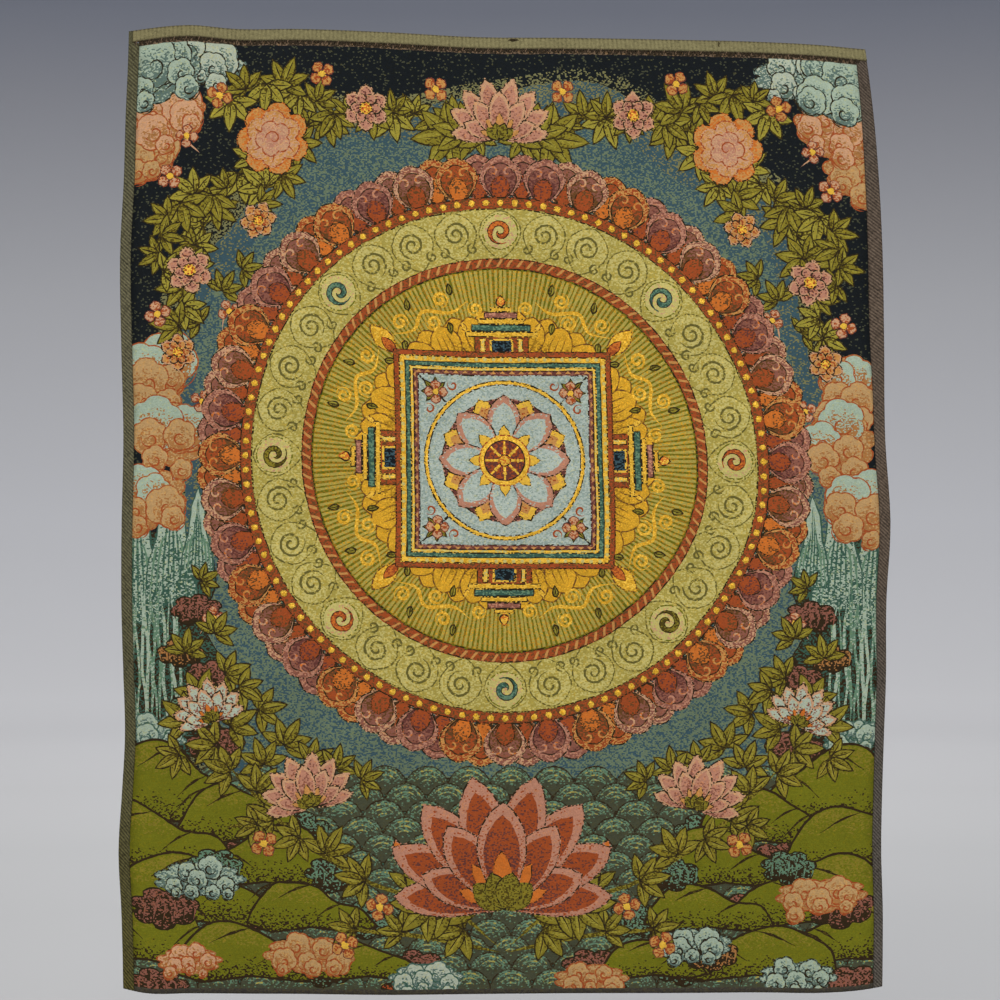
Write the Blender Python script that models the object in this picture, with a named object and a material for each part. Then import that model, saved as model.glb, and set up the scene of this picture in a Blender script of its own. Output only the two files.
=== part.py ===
"""A woven thangka hanging: a brocade panel with a ribbed heading and two twill side bands.

The cloth hangs in the XZ plane with its face towards -Y. The origin is at the middle of its top edge,
which is what holds it up. The outline is uneven and the cloth stands a few millimetres out of its plane
in soft swells, as a hanging that was stored rolled does.
"""
import math

import bpy
import numpy as np

MM = 0.001

# Cloth thickness, and the gap that is kept between neighbouring pieces.
PANEL_THICKNESS = 1.4 * MM
HEM_THICKNESS = 2.0 * MM
HEADING_THICKNESS = 2.6 * MM
BORDER_THICKNESS = 2.0 * MM
PIECE_GAP = 0.3 * MM
ROUND_SHARE = 0.45

# The cloth's height at its middle line.
CLOTH_HEIGHT = 595.5 * MM

# Widths of the bands, across the cloth or down it.
HEADING_DEPTH = 7.4 * MM
HEADING_START = 2.4 * MM
LEFT_BAND_WIDTH = 6.8 * MM
BAND_STEP = 0.8 * MM
HEM_DEPTH = 3.2 * MM

# The right band's width, in millimetres: depth below the top, width.
RIGHT_BAND_WIDTHS = (
    (0.0, 6.2),
    (40.0, 7.5),
    (110.0, 8.9),
    (190.0, 8.9),
    (225.0, 7.2),
    (285.0, 6.9),
    (350.0, 6.4),
    (415.0, 5.8),
    (596.0, 5.8),
)

# The side edges, in millimetres: depth below the top, left edge and right edge from the middle line.
SIDE_EDGES = (
    # below, left, right
    (0.0, -233.5, 224.6),
    (15.0, -234.0, 226.8),
    (50.0, -235.6, 231.0),
    (90.0, -236.7, 234.0),
    (130.0, -238.6, 235.8),
    (190.0, -238.0, 236.8),
    (250.0, -236.9, 237.2),
    (305.0, -238.1, 240.1),
    (350.0, -238.3, 238.0),
    (400.0, -237.2, 237.9),
    (435.0, -236.5, 236.8),
    (470.0, -237.9, 235.9),
    (507.0, -239.5, 235.4),
    (540.0, -238.1, 236.1),
    (596.0, -236.0, 234.8),
)

# The ends, in millimetres: distance from the middle line, rise of the top edge, height of the bottom edge.
END_EDGES = (
    # across, top, bottom
    (-237.0, 2.7, -591.0),
    (-224.0, 4.4, -594.1),
    (-195.0, 6.5, -595.1),
    (-169.0, 4.8, -595.5),
    (-130.0, 5.4, -595.8),
    (-70.0, 2.7, -596.5),
    (-20.0, -0.3, -596.1),
    (40.0, -0.9, -595.8),
    (117.0, -2.0, -595.7),
    (160.0, -2.8, -595.2),
    (200.0, -4.6, -594.9),
    (224.3, -6.8, -592.4),
    (237.0, -7.6, -589.9),
)

# Soft swells of the hanging cloth, in millimetres: where each is, how far it reaches and how far forward it
# stands. A minus sign stands back.
SWELLS = (
    # across, height, reach across, reach down, forward
    (-196.0, 4.0, 34.0, 60.0, 4.6),
    (-128.0, 4.0, 40.0, 70.0, -2.4),
    (20.0, 0.0, 90.0, 60.0, 1.6),
    (228.0, -12.0, 70.0, 90.0, -4.2),
    (-240.0, -165.0, 34.0, 70.0, 3.0),
    (-242.0, -430.0, 38.0, 46.0, -3.2),
    (-244.0, -512.0, 36.0, 42.0, 3.6),
    (242.0, -300.0, 40.0, 56.0, 3.8),
    (240.0, -505.0, 40.0, 60.0, -2.6),
    (-244.0, -602.0, 44.0, 38.0, 7.0),
    (246.0, -602.0, 50.0, 40.0, 6.4),
    (-40.0, -330.0, 190.0, 230.0, 3.4),
    (90.0, -600.0, 120.0, 46.0, -2.2),
)

# Cells of the panel and the bands, and the steps that settle a point between four uneven lines.
PANEL_COLUMNS = 30
PANEL_ROWS = 38
HEADING_COLUMNS = 44
SETTLING_STEPS = 4

# Where the bands and the hem have their rows, as shares: each starts at the rim that is rounded off.
HEADING_ROWS = (0.0, 0.14, 0.55, 1.0)
BAND_COLUMNS = (0.0, 0.12, 0.5, 1.0)
HEM_ROWS = (0.0, 0.2, 0.9, 1.0)

# Base colour and roughness of each cloth, and the brocade's share of metal thread.
PANEL_LOOK = ((0.115, 0.110, 0.062, 1.0), 0.62, 0.1)
HEADING_LOOK = ((0.215, 0.185, 0.095, 1.0), 0.7, 0.0)
LEFT_BORDER_LOOK = ((0.085, 0.080, 0.045, 1.0), 0.75, 0.0)
RIGHT_BORDER_LOOK = ((0.090, 0.068, 0.058, 1.0), 0.75, 0.0)
SMOOTH_ANGLE = math.radians(40)


def remove_scene_objects():
    """Empty the scene without closing the file that the script runs from."""
    for thing in list(bpy.data.objects):
        bpy.data.objects.remove(thing, do_unlink=True)


def smooth_through(table, column, place):
    """Read a column of a table at a place in its first column, on a smooth curve through its rows."""
    places = [row[0] for row in table]
    values = [row[column] for row in table]
    slopes = np.gradient(values, places)
    place = min(max(place, places[0]), places[-1])
    last = len(places) - 2
    row = min(max(int(np.searchsorted(places, place)) - 1, 0), last)
    span = places[row + 1] - places[row]
    t = (place - places[row]) / span
    start_share = 2 * t ** 3 - 3 * t ** 2 + 1
    end_share = 1 - start_share
    start_pull = (t ** 3 - 2 * t ** 2 + t) * span
    end_pull = (t ** 3 - t ** 2) * span
    return (start_share * values[row] + end_share * values[row + 1]
            + start_pull * slopes[row] + end_pull * slopes[row + 1])


def left_edge(z, down=0.0):
    return smooth_through(SIDE_EDGES, 1, -z / MM) * MM


def right_edge(z, down=0.0):
    return smooth_through(SIDE_EDGES, 2, -z / MM) * MM


def top_edge(x):
    return smooth_through(END_EDGES, 1, x / MM) * MM


def bottom_edge(x):
    return smooth_through(END_EDGES, 2, x / MM) * MM


def forward(x, z):
    """How far the cloth stands in front of its plane."""
    total = 0.0
    for across, height, reach_across, reach_down, rise in SWELLS:
        off_across = (x / MM - across) / reach_across
        off_down = (z / MM - height) / reach_down
        total += rise * math.exp(-off_across ** 2 - off_down ** 2)
    return total * MM


def ease(t):
    t = min(max(t, 0.0), 1.0)
    return t * t * (3 - 2 * t)


def right_band_width(z):
    return smooth_through(RIGHT_BAND_WIDTHS, 1, -z / MM) * MM


def settle(across, down, left, right, top, bottom):
    """A place in the cloth's plane, from shares between its left and right and its top and bottom lines."""
    x = 0.0
    z = -down * CLOTH_HEIGHT
    for _ in range(SETTLING_STEPS):
        x = left(z, down) + (right(z, down) - left(z, down)) * across
        z = top(x) + (bottom(x) - top(x)) * down
    return x, z


def spread(count):
    """Even shares from 0 to 1."""
    return [step / count for step in range(count + 1)]


def sheet(name, lines, columns, rows, thickness, look):
    """One closed sheet: a front and a back skin between four lines, joined round the rim.

    thickness is a function of the shares across and down, so that an edge can be rounded or a hem thick.
    """
    front, back = [], []
    for down in rows:
        for across in columns:
            x, z = settle(across, down, *lines)
            middle = -forward(x, z)
            half = thickness(across, down) / 2
            front.append((x, middle - half, z))
            back.append((x, middle + half, z))
    width = len(columns)
    count = len(front)
    faces = []
    for row in range(len(rows) - 1):
        for column in range(width - 1):
            corner = row * width + column
            quad = (corner, corner + width, corner + width + 1, corner + 1)
            faces.append(quad)
            faces.append(tuple(count + index for index in reversed(quad)))
    last_row = (len(rows) - 1) * width
    rim = list(range(width))
    rim += [row * width + width - 1 for row in range(1, len(rows))]
    rim += list(range(last_row + width - 2, last_row - 1, -1))
    rim += [row * width for row in range(len(rows) - 2, 0, -1)]
    for here, there in zip(rim, rim[1:] + rim[:1]):
        faces.append((here, there, count + there, count + here))
    mesh = bpy.data.meshes.new(name)
    mesh.from_pydata(front + back, [], faces)
    mesh.validate()
    mesh.shade_smooth()
    mesh.set_sharp_from_angle(angle=SMOOTH_ANGLE)
    mesh.materials.append(cloth_material(name, look))
    thing = bpy.data.objects.new(name, mesh)
    bpy.context.collection.objects.link(thing)
    return thing


def cloth_material(name, look):
    colour, roughness, metallic = look
    material = bpy.data.materials.new(name)
    material.use_nodes = True
    shader = material.node_tree.nodes["Principled BSDF"]
    shader.inputs["Base Color"].default_value = colour
    shader.inputs["Roughness"].default_value = roughness
    shader.inputs["Metallic"].default_value = metallic
    return material


def under_heading(x):
    return top_edge(x) - HEADING_DEPTH


def under_heading_gap(x):
    return under_heading(x) - PIECE_GAP


def heading_left(z, down=0.0):
    return left_edge(z) + HEADING_START


def rounded(at_rim, full):
    """The thickness at a rounded rim, and inside it."""
    return full * ROUND_SHARE if at_rim else full


def make_panel():
    """The brocade panel, with its turned hem along the bottom."""
    hem_share = HEM_DEPTH / (CLOTH_HEIGHT - HEADING_DEPTH)

    def left(z, down):
        return left_edge(z) + LEFT_BAND_WIDTH + PIECE_GAP

    def right(z, down):
        return right_edge(z) - right_band_width(z) - PIECE_GAP

    def thickness(across, down):
        in_hem = down > 1 - hem_share
        return rounded(down == 1, HEM_THICKNESS if in_hem else PANEL_THICKNESS)

    rows = spread(PANEL_ROWS)[:-1]
    rows += [1 - hem_share * row for row in reversed(HEM_ROWS)]
    lines = (left, right, under_heading_gap, bottom_edge)
    return sheet("picture_panel", lines, spread(PANEL_COLUMNS), rows, thickness, PANEL_LOOK)


def make_heading():
    """The ribbed band along the top: its top is rounded over, and it stops short of the left edge."""
    def thickness(across, down):
        return rounded(down == 0, HEADING_THICKNESS)

    lines = (heading_left, right_edge, top_edge, under_heading)
    return sheet("top_heading", lines, spread(HEADING_COLUMNS), HEADING_ROWS, thickness, HEADING_LOOK)


def make_left_border():
    """The narrow twill band: it runs to the very top, where only its outer edge shows past the heading."""
    below_heading = (HEADING_DEPTH + PIECE_GAP) / CLOTH_HEIGHT
    full_width = below_heading + BAND_STEP / CLOTH_HEIGHT

    def inner(z, down):
        if down < full_width:
            return heading_left(z) - PIECE_GAP
        return left_edge(z) + LEFT_BAND_WIDTH

    def thickness(across, down):
        return rounded(across == 0, BORDER_THICKNESS)

    rows = [0.0, below_heading]
    rows += [full_width + (1 - full_width) * share for share in spread(PANEL_ROWS)]
    lines = (left_edge, inner, top_edge, bottom_edge)
    return sheet("left_border", lines, BAND_COLUMNS, rows, thickness, LEFT_BORDER_LOOK)


def make_right_border():
    """The wider twill band, which starts under the heading."""
    def inner(z, down):
        return right_edge(z) - right_band_width(z)

    def thickness(across, down):
        return rounded(across == 1, BORDER_THICKNESS)

    lines = (inner, right_edge, under_heading_gap, bottom_edge)
    columns = [1 - column for column in reversed(BAND_COLUMNS)]
    return sheet("right_border", lines, columns, spread(PANEL_ROWS), thickness, RIGHT_BORDER_LOOK)


def main():
    remove_scene_objects()
    make_panel()
    make_heading()
    make_left_border()
    make_right_border()


main()
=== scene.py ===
"""The looks of a woven thangka hanging: a brocade picture, its ribbed heading and its twill side bands.

The picture is a generic one, drawn here as flat shapes of yarn. The shapes are cut into one mesh, raised or
sunken by the height of their floats, and laid on the cloth's own swells. All sizes are in millimetres until a
mesh is made.
"""
import contextlib
import math

import bpy
import numpy as np
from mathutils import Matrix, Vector, geometry

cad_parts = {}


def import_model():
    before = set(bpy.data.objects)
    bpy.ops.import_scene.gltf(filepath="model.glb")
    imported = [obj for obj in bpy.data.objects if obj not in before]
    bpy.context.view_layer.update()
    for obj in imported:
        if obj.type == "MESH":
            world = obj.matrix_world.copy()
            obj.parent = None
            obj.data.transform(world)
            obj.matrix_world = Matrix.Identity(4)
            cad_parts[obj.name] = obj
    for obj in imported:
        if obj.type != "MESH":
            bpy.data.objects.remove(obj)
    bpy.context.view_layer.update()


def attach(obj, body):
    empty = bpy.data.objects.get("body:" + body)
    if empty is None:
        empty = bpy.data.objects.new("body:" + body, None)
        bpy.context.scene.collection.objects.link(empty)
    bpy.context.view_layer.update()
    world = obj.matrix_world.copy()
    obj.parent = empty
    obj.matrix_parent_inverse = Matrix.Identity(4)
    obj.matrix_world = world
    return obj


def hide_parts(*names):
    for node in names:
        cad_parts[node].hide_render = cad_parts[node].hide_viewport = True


MM = 0.001

# Cloth thickness, and the hair's breadth that is kept at the seams.
PANEL_THICKNESS = 1.4
HEM_THICKNESS = 2.0
BORDER_THICKNESS = 2.0
SEAM_GAP = 0.05

# The cloth's height at its middle line, and the widths of the bands.
CLOTH_HEIGHT = 595.5
HEADING_DEPTH = 7.4
HEADING_START = 2.4
LEFT_BAND_WIDTH = 6.8
BAND_STEP = 0.8
SETTLING_STEPS = 4

# The right band's width, in millimetres: depth below the top, width.
RIGHT_BAND_WIDTHS = (
    (0.0, 6.2),
    (40.0, 7.5),
    (110.0, 8.9),
    (190.0, 8.9),
    (225.0, 7.2),
    (285.0, 6.9),
    (350.0, 6.4),
    (415.0, 5.8),
    (596.0, 5.8),
)

# The side edges: depth below the top, left edge and right edge from the middle line.
SIDE_EDGES = (
    # below, left, right
    (0.0, -233.5, 224.6),
    (15.0, -234.0, 226.8),
    (50.0, -235.6, 231.0),
    (90.0, -236.7, 234.0),
    (130.0, -238.6, 235.8),
    (190.0, -238.0, 236.8),
    (250.0, -236.9, 237.2),
    (305.0, -238.1, 240.1),
    (350.0, -238.3, 238.0),
    (400.0, -237.2, 237.9),
    (435.0, -236.5, 236.8),
    (470.0, -237.9, 235.9),
    (507.0, -239.5, 235.4),
    (540.0, -238.1, 236.1),
    (596.0, -236.0, 234.8),
)

# The ends: distance from the middle line, rise of the top edge, height of the bottom edge.
END_EDGES = (
    # across, top, bottom
    (-237.0, 2.7, -591.0),
    (-224.0, 4.4, -594.1),
    (-195.0, 6.5, -595.1),
    (-169.0, 4.8, -595.5),
    (-130.0, 5.4, -595.8),
    (-70.0, 2.7, -596.5),
    (-20.0, -0.3, -596.1),
    (40.0, -0.9, -595.8),
    (117.0, -2.0, -595.7),
    (160.0, -2.8, -595.2),
    (200.0, -4.6, -594.9),
    (224.3, -6.8, -592.4),
    (237.0, -7.6, -589.9),
)

# Soft swells of the hanging cloth: where each is, how far it reaches and how far forward it stands.
SWELLS = (
    # across, height, reach across, reach down, forward
    (-196.0, 4.0, 34.0, 60.0, 4.6),
    (-128.0, 4.0, 40.0, 70.0, -2.4),
    (20.0, 0.0, 90.0, 60.0, 1.6),
    (228.0, -12.0, 70.0, 90.0, -4.2),
    (-240.0, -165.0, 34.0, 70.0, 3.0),
    (-242.0, -430.0, 38.0, 46.0, -3.2),
    (-244.0, -512.0, 36.0, 42.0, 3.6),
    (242.0, -300.0, 40.0, 56.0, 3.8),
    (240.0, -505.0, 40.0, 60.0, -2.6),
    (-244.0, -602.0, 44.0, 38.0, 7.0),
    (246.0, -602.0, 50.0, 40.0, 6.4),
    (-40.0, -330.0, 190.0, 230.0, 3.4),
    (90.0, -600.0, 120.0, 46.0, -2.2),
)

# Faint creases of a cloth that was stored folded and rolled: two places each crease runs between, its width
# and how far forward it stands.
CREASES = (
    # across, height, across, height, width, forward
    (-230.0, -196.0, 236.0, -203.0, 5.0, -0.35),
    (-236.0, -398.0, 232.0, -392.0, 5.0, 0.3),
    (-2.0, 0.0, 3.0, -596.0, 5.5, -0.25),
    (-237.0, -560.0, -150.0, -596.0, 7.0, 0.45),
    (236.0, -548.0, 160.0, -596.0, 7.0, 0.4),
)


def smooth_through(table, column, place):
    """Reads a column of a table at places in its first column, on a smooth curve through its rows."""
    rows = np.array(table)
    places, values = rows[:, 0], rows[:, column]
    slopes = np.gradient(values, places)
    place = np.clip(place, places[0], places[-1])
    row = np.clip(np.searchsorted(places, place) - 1, 0, len(places) - 2)
    span = places[row + 1] - places[row]
    t = (place - places[row]) / span
    start_share = 2 * t ** 3 - 3 * t ** 2 + 1
    start_pull = (t ** 3 - 2 * t ** 2 + t) * span
    end_pull = (t ** 3 - t ** 2) * span
    return (start_share * values[row] + (1 - start_share) * values[row + 1]
            + start_pull * slopes[row] + end_pull * slopes[row + 1])


def left_edge(z, down=0.0):
    return smooth_through(SIDE_EDGES, 1, -z)


def right_edge(z, down=0.0):
    return smooth_through(SIDE_EDGES, 2, -z)


def top_edge(x):
    return smooth_through(END_EDGES, 1, x)


def bottom_edge(x):
    return smooth_through(END_EDGES, 2, x)


def forward(x, z):
    """How far the cloth stands in front of its plane."""
    total = np.zeros(np.shape(x))
    for across, height, reach_across, reach_down, rise in SWELLS:
        total += rise * np.exp(-((x - across) / reach_across) ** 2 - ((z - height) / reach_down) ** 2)
    for start_x, start_z, end_x, end_z, width, rise in CREASES:
        way = np.array([end_x - start_x, end_z - start_z])
        length = np.linalg.norm(way)
        along = ((x - start_x) * way[0] + (z - start_z) * way[1]) / length
        aside = ((x - start_x) * way[1] - (z - start_z) * way[0]) / length
        past = np.maximum(np.maximum(-along, along - length), 0.0)
        total += rise * np.exp(-(aside / width) ** 2 - (past / 10.0) ** 2)
    return total


def ease(t):
    t = np.clip(t, 0.0, 1.0)
    return t * t * (3 - 2 * t)


def right_band_width(z):
    return smooth_through(RIGHT_BAND_WIDTHS, 1, -z)


def under_heading(x):
    return top_edge(x) - HEADING_DEPTH


def under_heading_gap(x):
    return under_heading(x) - SEAM_GAP


def heading_left(z, down=0.0):
    return left_edge(z) + HEADING_START


def panel_left(z, down=0.0):
    return left_edge(z) + LEFT_BAND_WIDTH + SEAM_GAP


def panel_right(z, down=0.0):
    return right_edge(z) - right_band_width(z) - SEAM_GAP


BELOW_HEADING = (HEADING_DEPTH + SEAM_GAP) / CLOTH_HEIGHT


def left_band_inner(z, down):
    """The left band runs on beside the heading, where only its outer edge shows."""
    step = ease((down - BELOW_HEADING) / (BAND_STEP / CLOTH_HEIGHT))
    beside = heading_left(z) - SEAM_GAP
    return beside + (left_edge(z) + LEFT_BAND_WIDTH - beside) * step


def right_band_inner(z, down=0.0):
    return right_edge(z) - right_band_width(z)


PANEL_LINES = (panel_left, panel_right, under_heading_gap, bottom_edge)
HEADING_LINES = (heading_left, right_edge, top_edge, under_heading)
LEFT_BAND_LINES = (left_edge, left_band_inner, top_edge, bottom_edge)
RIGHT_BAND_LINES = (right_band_inner, right_edge, under_heading_gap, bottom_edge)


def place(lines, across, down, out):
    """Points on a sheet, from shares across and down it and the distance in front of its middle."""
    left, right, top, bottom = lines
    x = np.zeros(np.shape(across))
    z = -down * CLOTH_HEIGHT
    for _ in range(SETTLING_STEPS):
        x = left(z, down) + (right(z, down) - left(z, down)) * across
        z = top(x) + (bottom(x) - top(x)) * down
    return np.stack([x, -forward(x, z) - out, z], -1)


# Half the panel's width and height in the picture's own millimetres.
HALF_WIDTH = 228.0
HALF_HEIGHT = 292.0

# Heights of the woven surface, in millimetres: sunken binding lines, plain ground, raised floats.
SUNK, GROUND, LOW, RAISED, PROUD = -0.12, 0.0, 0.08, 0.26, 0.4

# The width of an outline, and the share of it that the motif's own thread breaks up.
EDGE = 0.85
BROKEN = 0.34

YARNS = {
    "ink": (38, 31, 18), "navy": (18, 22, 25), "night": (62, 64, 48), "deep": (52, 74, 82),
    "sky": (92, 106, 86), "mist": (108, 106, 70), "gold": (180, 136, 36), "ochre": (140, 104, 26),
    "sun": (204, 162, 58), "straw": (152, 138, 66), "cream": (176, 164, 98), "olive": (96, 94, 20),
    "moss": (70, 60, 18), "leaf": (116, 106, 34), "ice": (158, 168, 158), "glacier": (132, 146, 138),
    "mauve": (124, 78, 64), "plum": (90, 50, 44), "rose": (166, 116, 94), "blush": (178, 136, 104),
    "peach": (174, 124, 68), "orange": (178, 98, 38), "rust": (140, 66, 32), "brown": (92, 60, 32),
    "earth": (44, 33, 18), "teal": (50, 78, 66), "sea": (88, 116, 94), "foam": (144, 158, 140),
    "pearl": (156, 164, 146), "stone": (84, 102, 94), "ecru": (120, 113, 80), "fawn": (94, 88, 60),
    "umber": (54, 45, 34), "dusk": (104, 86, 68), "lichen": (96, 94, 68), "bark": (60, 56, 40),
    "sage": (106, 102, 76), "dun": (66, 62, 50), "weed": (90, 84, 40), "peat": (50, 46, 28),
    "taupe": (94, 84, 72), "cocoa": (58, 48, 43), "fig": (102, 88, 74), "soot": (62, 52, 45),
    "ash": (92, 86, 78), "slate": (56, 52, 47), "fern": (98, 98, 20), "sprout": (136, 126, 48),
    "wheat": (166, 132, 88), "amber": (148, 102, 58),
}


def dye(a, b=None, low=0.0, high=None, start=(0.0, 0.0), end=(0.0, 1.0), radial=False, glint=0.0):
    """Thread a, with a share of thread b that goes from low at start to high at end."""
    return dict(a=a, b=b or a, low=low, high=low if high is None else high,
                start=start, end=end, reach=(0.0, 1.0), radial=radial, glint=glint)


def circle(radius, count, x=0.0, y=0.0):
    angles = np.linspace(0, 2 * math.pi, count, endpoint=False)
    return np.stack([x + radius * np.cos(angles), y + radius * np.sin(angles)], 1)


def arc(radius, first, last, count, x=0.0, y=0.0):
    angles = np.radians(np.linspace(first, last, count))
    return np.stack([x + radius * np.cos(angles), y + radius * np.sin(angles)], 1)


def spiral(radius, turns, count, hand=1, start=0.0, core=0.12):
    t = np.linspace(0, 1, count)
    angles = math.radians(start) + hand * 2 * math.pi * turns * t
    reach = radius * (1 - (1 - core) * t)
    return np.stack([reach * np.cos(angles), reach * np.sin(angles)], 1)


def box(left, low, right, high):
    return np.array([(left, low), (right, low), (right, high), (left, high)], float)


def through(points, count):
    """A smooth path through a few points."""
    points = np.asarray(points, float)
    slopes = np.gradient(points, axis=0)
    places = np.linspace(0, len(points) - 1, count)
    row = np.clip(places.astype(int), 0, len(points) - 2)
    t = (places - row)[:, None]
    return ((2 * t ** 3 - 3 * t ** 2 + 1) * points[row] + (3 * t ** 2 - 2 * t ** 3) * points[row + 1]
            + (t ** 3 - 2 * t ** 2 + t) * slopes[row] + (t ** 3 - t ** 2) * slopes[row + 1])


def blade(length, width, fullest, bend=0.0, count=None, blunt=0.8):
    """A leaf or petal from the origin along +y: fullest is where it is widest, bend how far its tip leans."""
    count = count or int(6 + min(length, 60) / 7)
    power = math.log(0.5) / math.log(fullest)
    t = (1 - np.cos(np.linspace(0, math.pi, count))) / 2 if blunt < 0.7 else np.linspace(0, 1, count)
    half = width / 2 * np.sin(math.pi * t ** power) ** blunt
    lean = bend * length * t ** 2
    right = np.stack([lean + half, t * length], 1)
    left = np.stack([lean - half, t * length], 1)[1:-1][::-1]
    return np.concatenate([right, left])


def band(path, width, taper):
    """A ribbon of the given width along a path. Its ends narrow over taper, a share of its length."""
    path = np.asarray(path, float)
    way = np.gradient(path, axis=0)
    way /= np.maximum(np.linalg.norm(way, axis=1, keepdims=True), 1e-9)
    side = np.stack([-way[:, 1], way[:, 0]], 1)
    t = np.linspace(0, 1, len(path))
    reach = side * (width / 2 * np.clip(np.minimum(t, 1 - t) / taper, 0.12, 1))[:, None]
    return np.concatenate([path - reach, (path + reach)[::-1]])


def scalloped(radius, lobes, depth, count, start):
    """A ring of round lobes."""
    points = []
    for lobe in range(lobes):
        for step in range(count):
            t = step / count
            angle = math.radians(start) + 2 * math.pi * (lobe + t) / lobes
            reach = radius * (1 - depth + depth * math.sin(math.pi * t) ** 0.6)
            points.append((reach * math.cos(angle), reach * math.sin(angle)))
    return np.array(points)


def area_of(points):
    x, y = points[:, 0], points[:, 1]
    return 0.5 * float(np.dot(x, np.roll(y, -1)) - np.dot(y, np.roll(x, -1)))


def inset(points, distance):
    """The outline moved inwards, less far where the shape is too slim."""
    around = np.linalg.norm(points - np.roll(points, -1, 0), axis=1).sum()
    distance = min(distance, 0.8 * area_of(points) / around)
    before = points - np.roll(points, 1, 0)
    after = np.roll(points, -1, 0) - points
    before /= np.maximum(np.linalg.norm(before, axis=1, keepdims=True), 1e-9)
    after /= np.maximum(np.linalg.norm(after, axis=1, keepdims=True), 1e-9)
    normal = np.stack([-(before + after)[:, 1], (before + after)[:, 0]], 1)
    length = np.maximum(np.linalg.norm(normal, axis=1, keepdims=True), 0.9)
    return points + normal / length * distance * (2 / length)


class Draft:
    """The picture as flat shapes in millimetres, each later one over the ones before."""

    def __init__(self):
        self.shapes = []
        self.turn = np.eye(2)
        self.shift = np.zeros(2)

    @contextlib.contextmanager
    def at(self, x=0.0, y=0.0, angle=0.0, size=1.0, mirror=False):
        """Draws what follows at a place, turned anticlockwise by angle."""
        kept = self.turn, self.shift
        cos, sin = math.cos(math.radians(angle)) * size, math.sin(math.radians(angle)) * size
        flip = -1.0 if mirror else 1.0
        self.shift = self.turn @ np.array([x, y]) + self.shift
        self.turn = self.turn @ np.array([[cos * flip, -sin], [sin * flip, cos]])
        yield
        self.turn, self.shift = kept

    def turned(self, count, start=0.0):
        """Draws what follows count times, turned by even shares of a circle."""
        for k in range(count):
            with self.at(angle=start + k * 360 / count):
                yield k

    def mirrored(self):
        """Draws what follows as it is, and once more in a mirror."""
        for mirror in (False, True):
            with self.at(mirror=mirror):
                yield mirror

    def here(self, points):
        return np.asarray(points, float) @ self.turn.T + self.shift

    def lay(self, points, paint, height=GROUND):
        self.keep(self.here(points), paint, height)

    def keep(self, points, paint, height):
        if area_of(points) < 0:
            points = points[::-1]
        if paint["radial"]:
            scale = math.sqrt(abs(np.linalg.det(self.turn)))
            reach = (paint["start"][0] * scale, paint["end"][0] * scale)
            paint = dict(paint, start=self.shift, end=self.shift, reach=reach)
        else:
            start, end = self.here([paint["start"], paint["end"]])
            paint = dict(paint, start=start, end=end)
        self.shapes.append((points, paint, height))
        return points

    def pad(self, points, paint, edge="ink", width=EDGE, height=RAISED):
        """A raised float with a sunken edge line round it."""
        outer = self.keep(self.here(points), dye(edge, paint["a"], BROKEN), SUNK)
        inner = inset(outer, width)
        if area_of(inner) > 0.15 * area_of(outer):
            self.keep(inner, paint, height)

    def line(self, path, width, paint, height, taper=0.3):
        """A drawn line, whose width doesn't follow the size of the motif."""
        self.keep(band(self.here(path), width, taper), paint, height)


def leaf(draft, length, width, bend, light="leaf"):
    """One leaf from its stalk along +y, darker at its base, with a pale half and a sunken midrib."""
    paint = dye("moss", light, 0.2, 1.0, (0, 0), (0, length * 0.7), glint=0.4)
    draft.pad(blade(length, width, 0.42, bend, 7), paint)
    with draft.at(width * 0.14, length * 0.2, 4):
        draft.lay(blade(length * 0.66, width * 0.3, 0.5, bend, 5), dye("sprout", light, 0.3), RAISED)
    rib = [(bend * length * t * t, length * t) for t in (0.1, 0.45, 0.85)]
    draft.line(rib, 0.75, dye("earth"), SUNK)


def leaf_spray(draft, size, light="leaf"):
    """Five leaves fanned from one stalk, the middle one in front."""
    for lean in (-0.5, 0.5, -0.25, 0.25, 0.0):
        with draft.at(angle=-lean * 150):
            leaf(draft, size * (1 - 0.35 * abs(lean)), size * 0.42, lean * 0.5, light)


def leaves(draft, places):
    """Sprays of leaves: across, height, turn and size of each."""
    for x, y, angle, size in places:
        with draft.at(x, y, angle):
            leaf_spray(draft, size)


def petal(draft, length, width, rim, outer, inner, heart, fullest, bend=0.0):
    """A petal with a pale rim, a field that fades from inner to outer, and a coloured heart."""
    draft.pad(blade(length, width, fullest, bend, None, 0.7), dye(rim, outer, 0.5, 0.0, (0, 0), (0, length)))
    with draft.at(y=length * 0.02):
        field = blade(length * 0.86, width * 0.72, fullest, bend, None, 0.7)
        draft.lay(field, dye(inner, outer, 0.1, 0.9, (0, 0), (0, length * 0.8)), RAISED)
    if heart:
        with draft.at(y=length * 0.05):
            draft.pad(blade(length * 0.5, width * 0.38, 0.6, bend, 6), dye(heart), "earth", 0.5)


def lotus_side(draft, size, rim, outer, inner, heart):
    """An open lotus seen from the side, on its calyx at the origin."""
    for lean, tall, wide in ((74, 0.82, 0.3), (-74, 0.82, 0.3), (54, 0.95, 0.34), (-54, 0.95, 0.34),
                             (33, 1.0, 0.36), (-33, 1.0, 0.36), (12, 1.04, 0.36), (-12, 1.04, 0.36)):
        with draft.at(angle=lean):
            petal(draft, size * tall, size * wide, rim, outer, inner, None, 0.6, -lean / 500)
    for lean, tall, wide in ((60, 0.66, 0.3), (-60, 0.66, 0.3), (30, 0.76, 0.34), (-30, 0.76, 0.34),
                             (0, 0.82, 0.38)):
        with draft.at(angle=lean):
            petal(draft, size * tall, size * wide, rim, outer, inner, heart, 0.58, -lean / 600)
    for lean in (48, -48, 16, -16):
        with draft.at(angle=lean):
            draft.pad(blade(size * 0.3, size * 0.2, 0.5), dye("leaf", "moss", 0.4))


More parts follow.
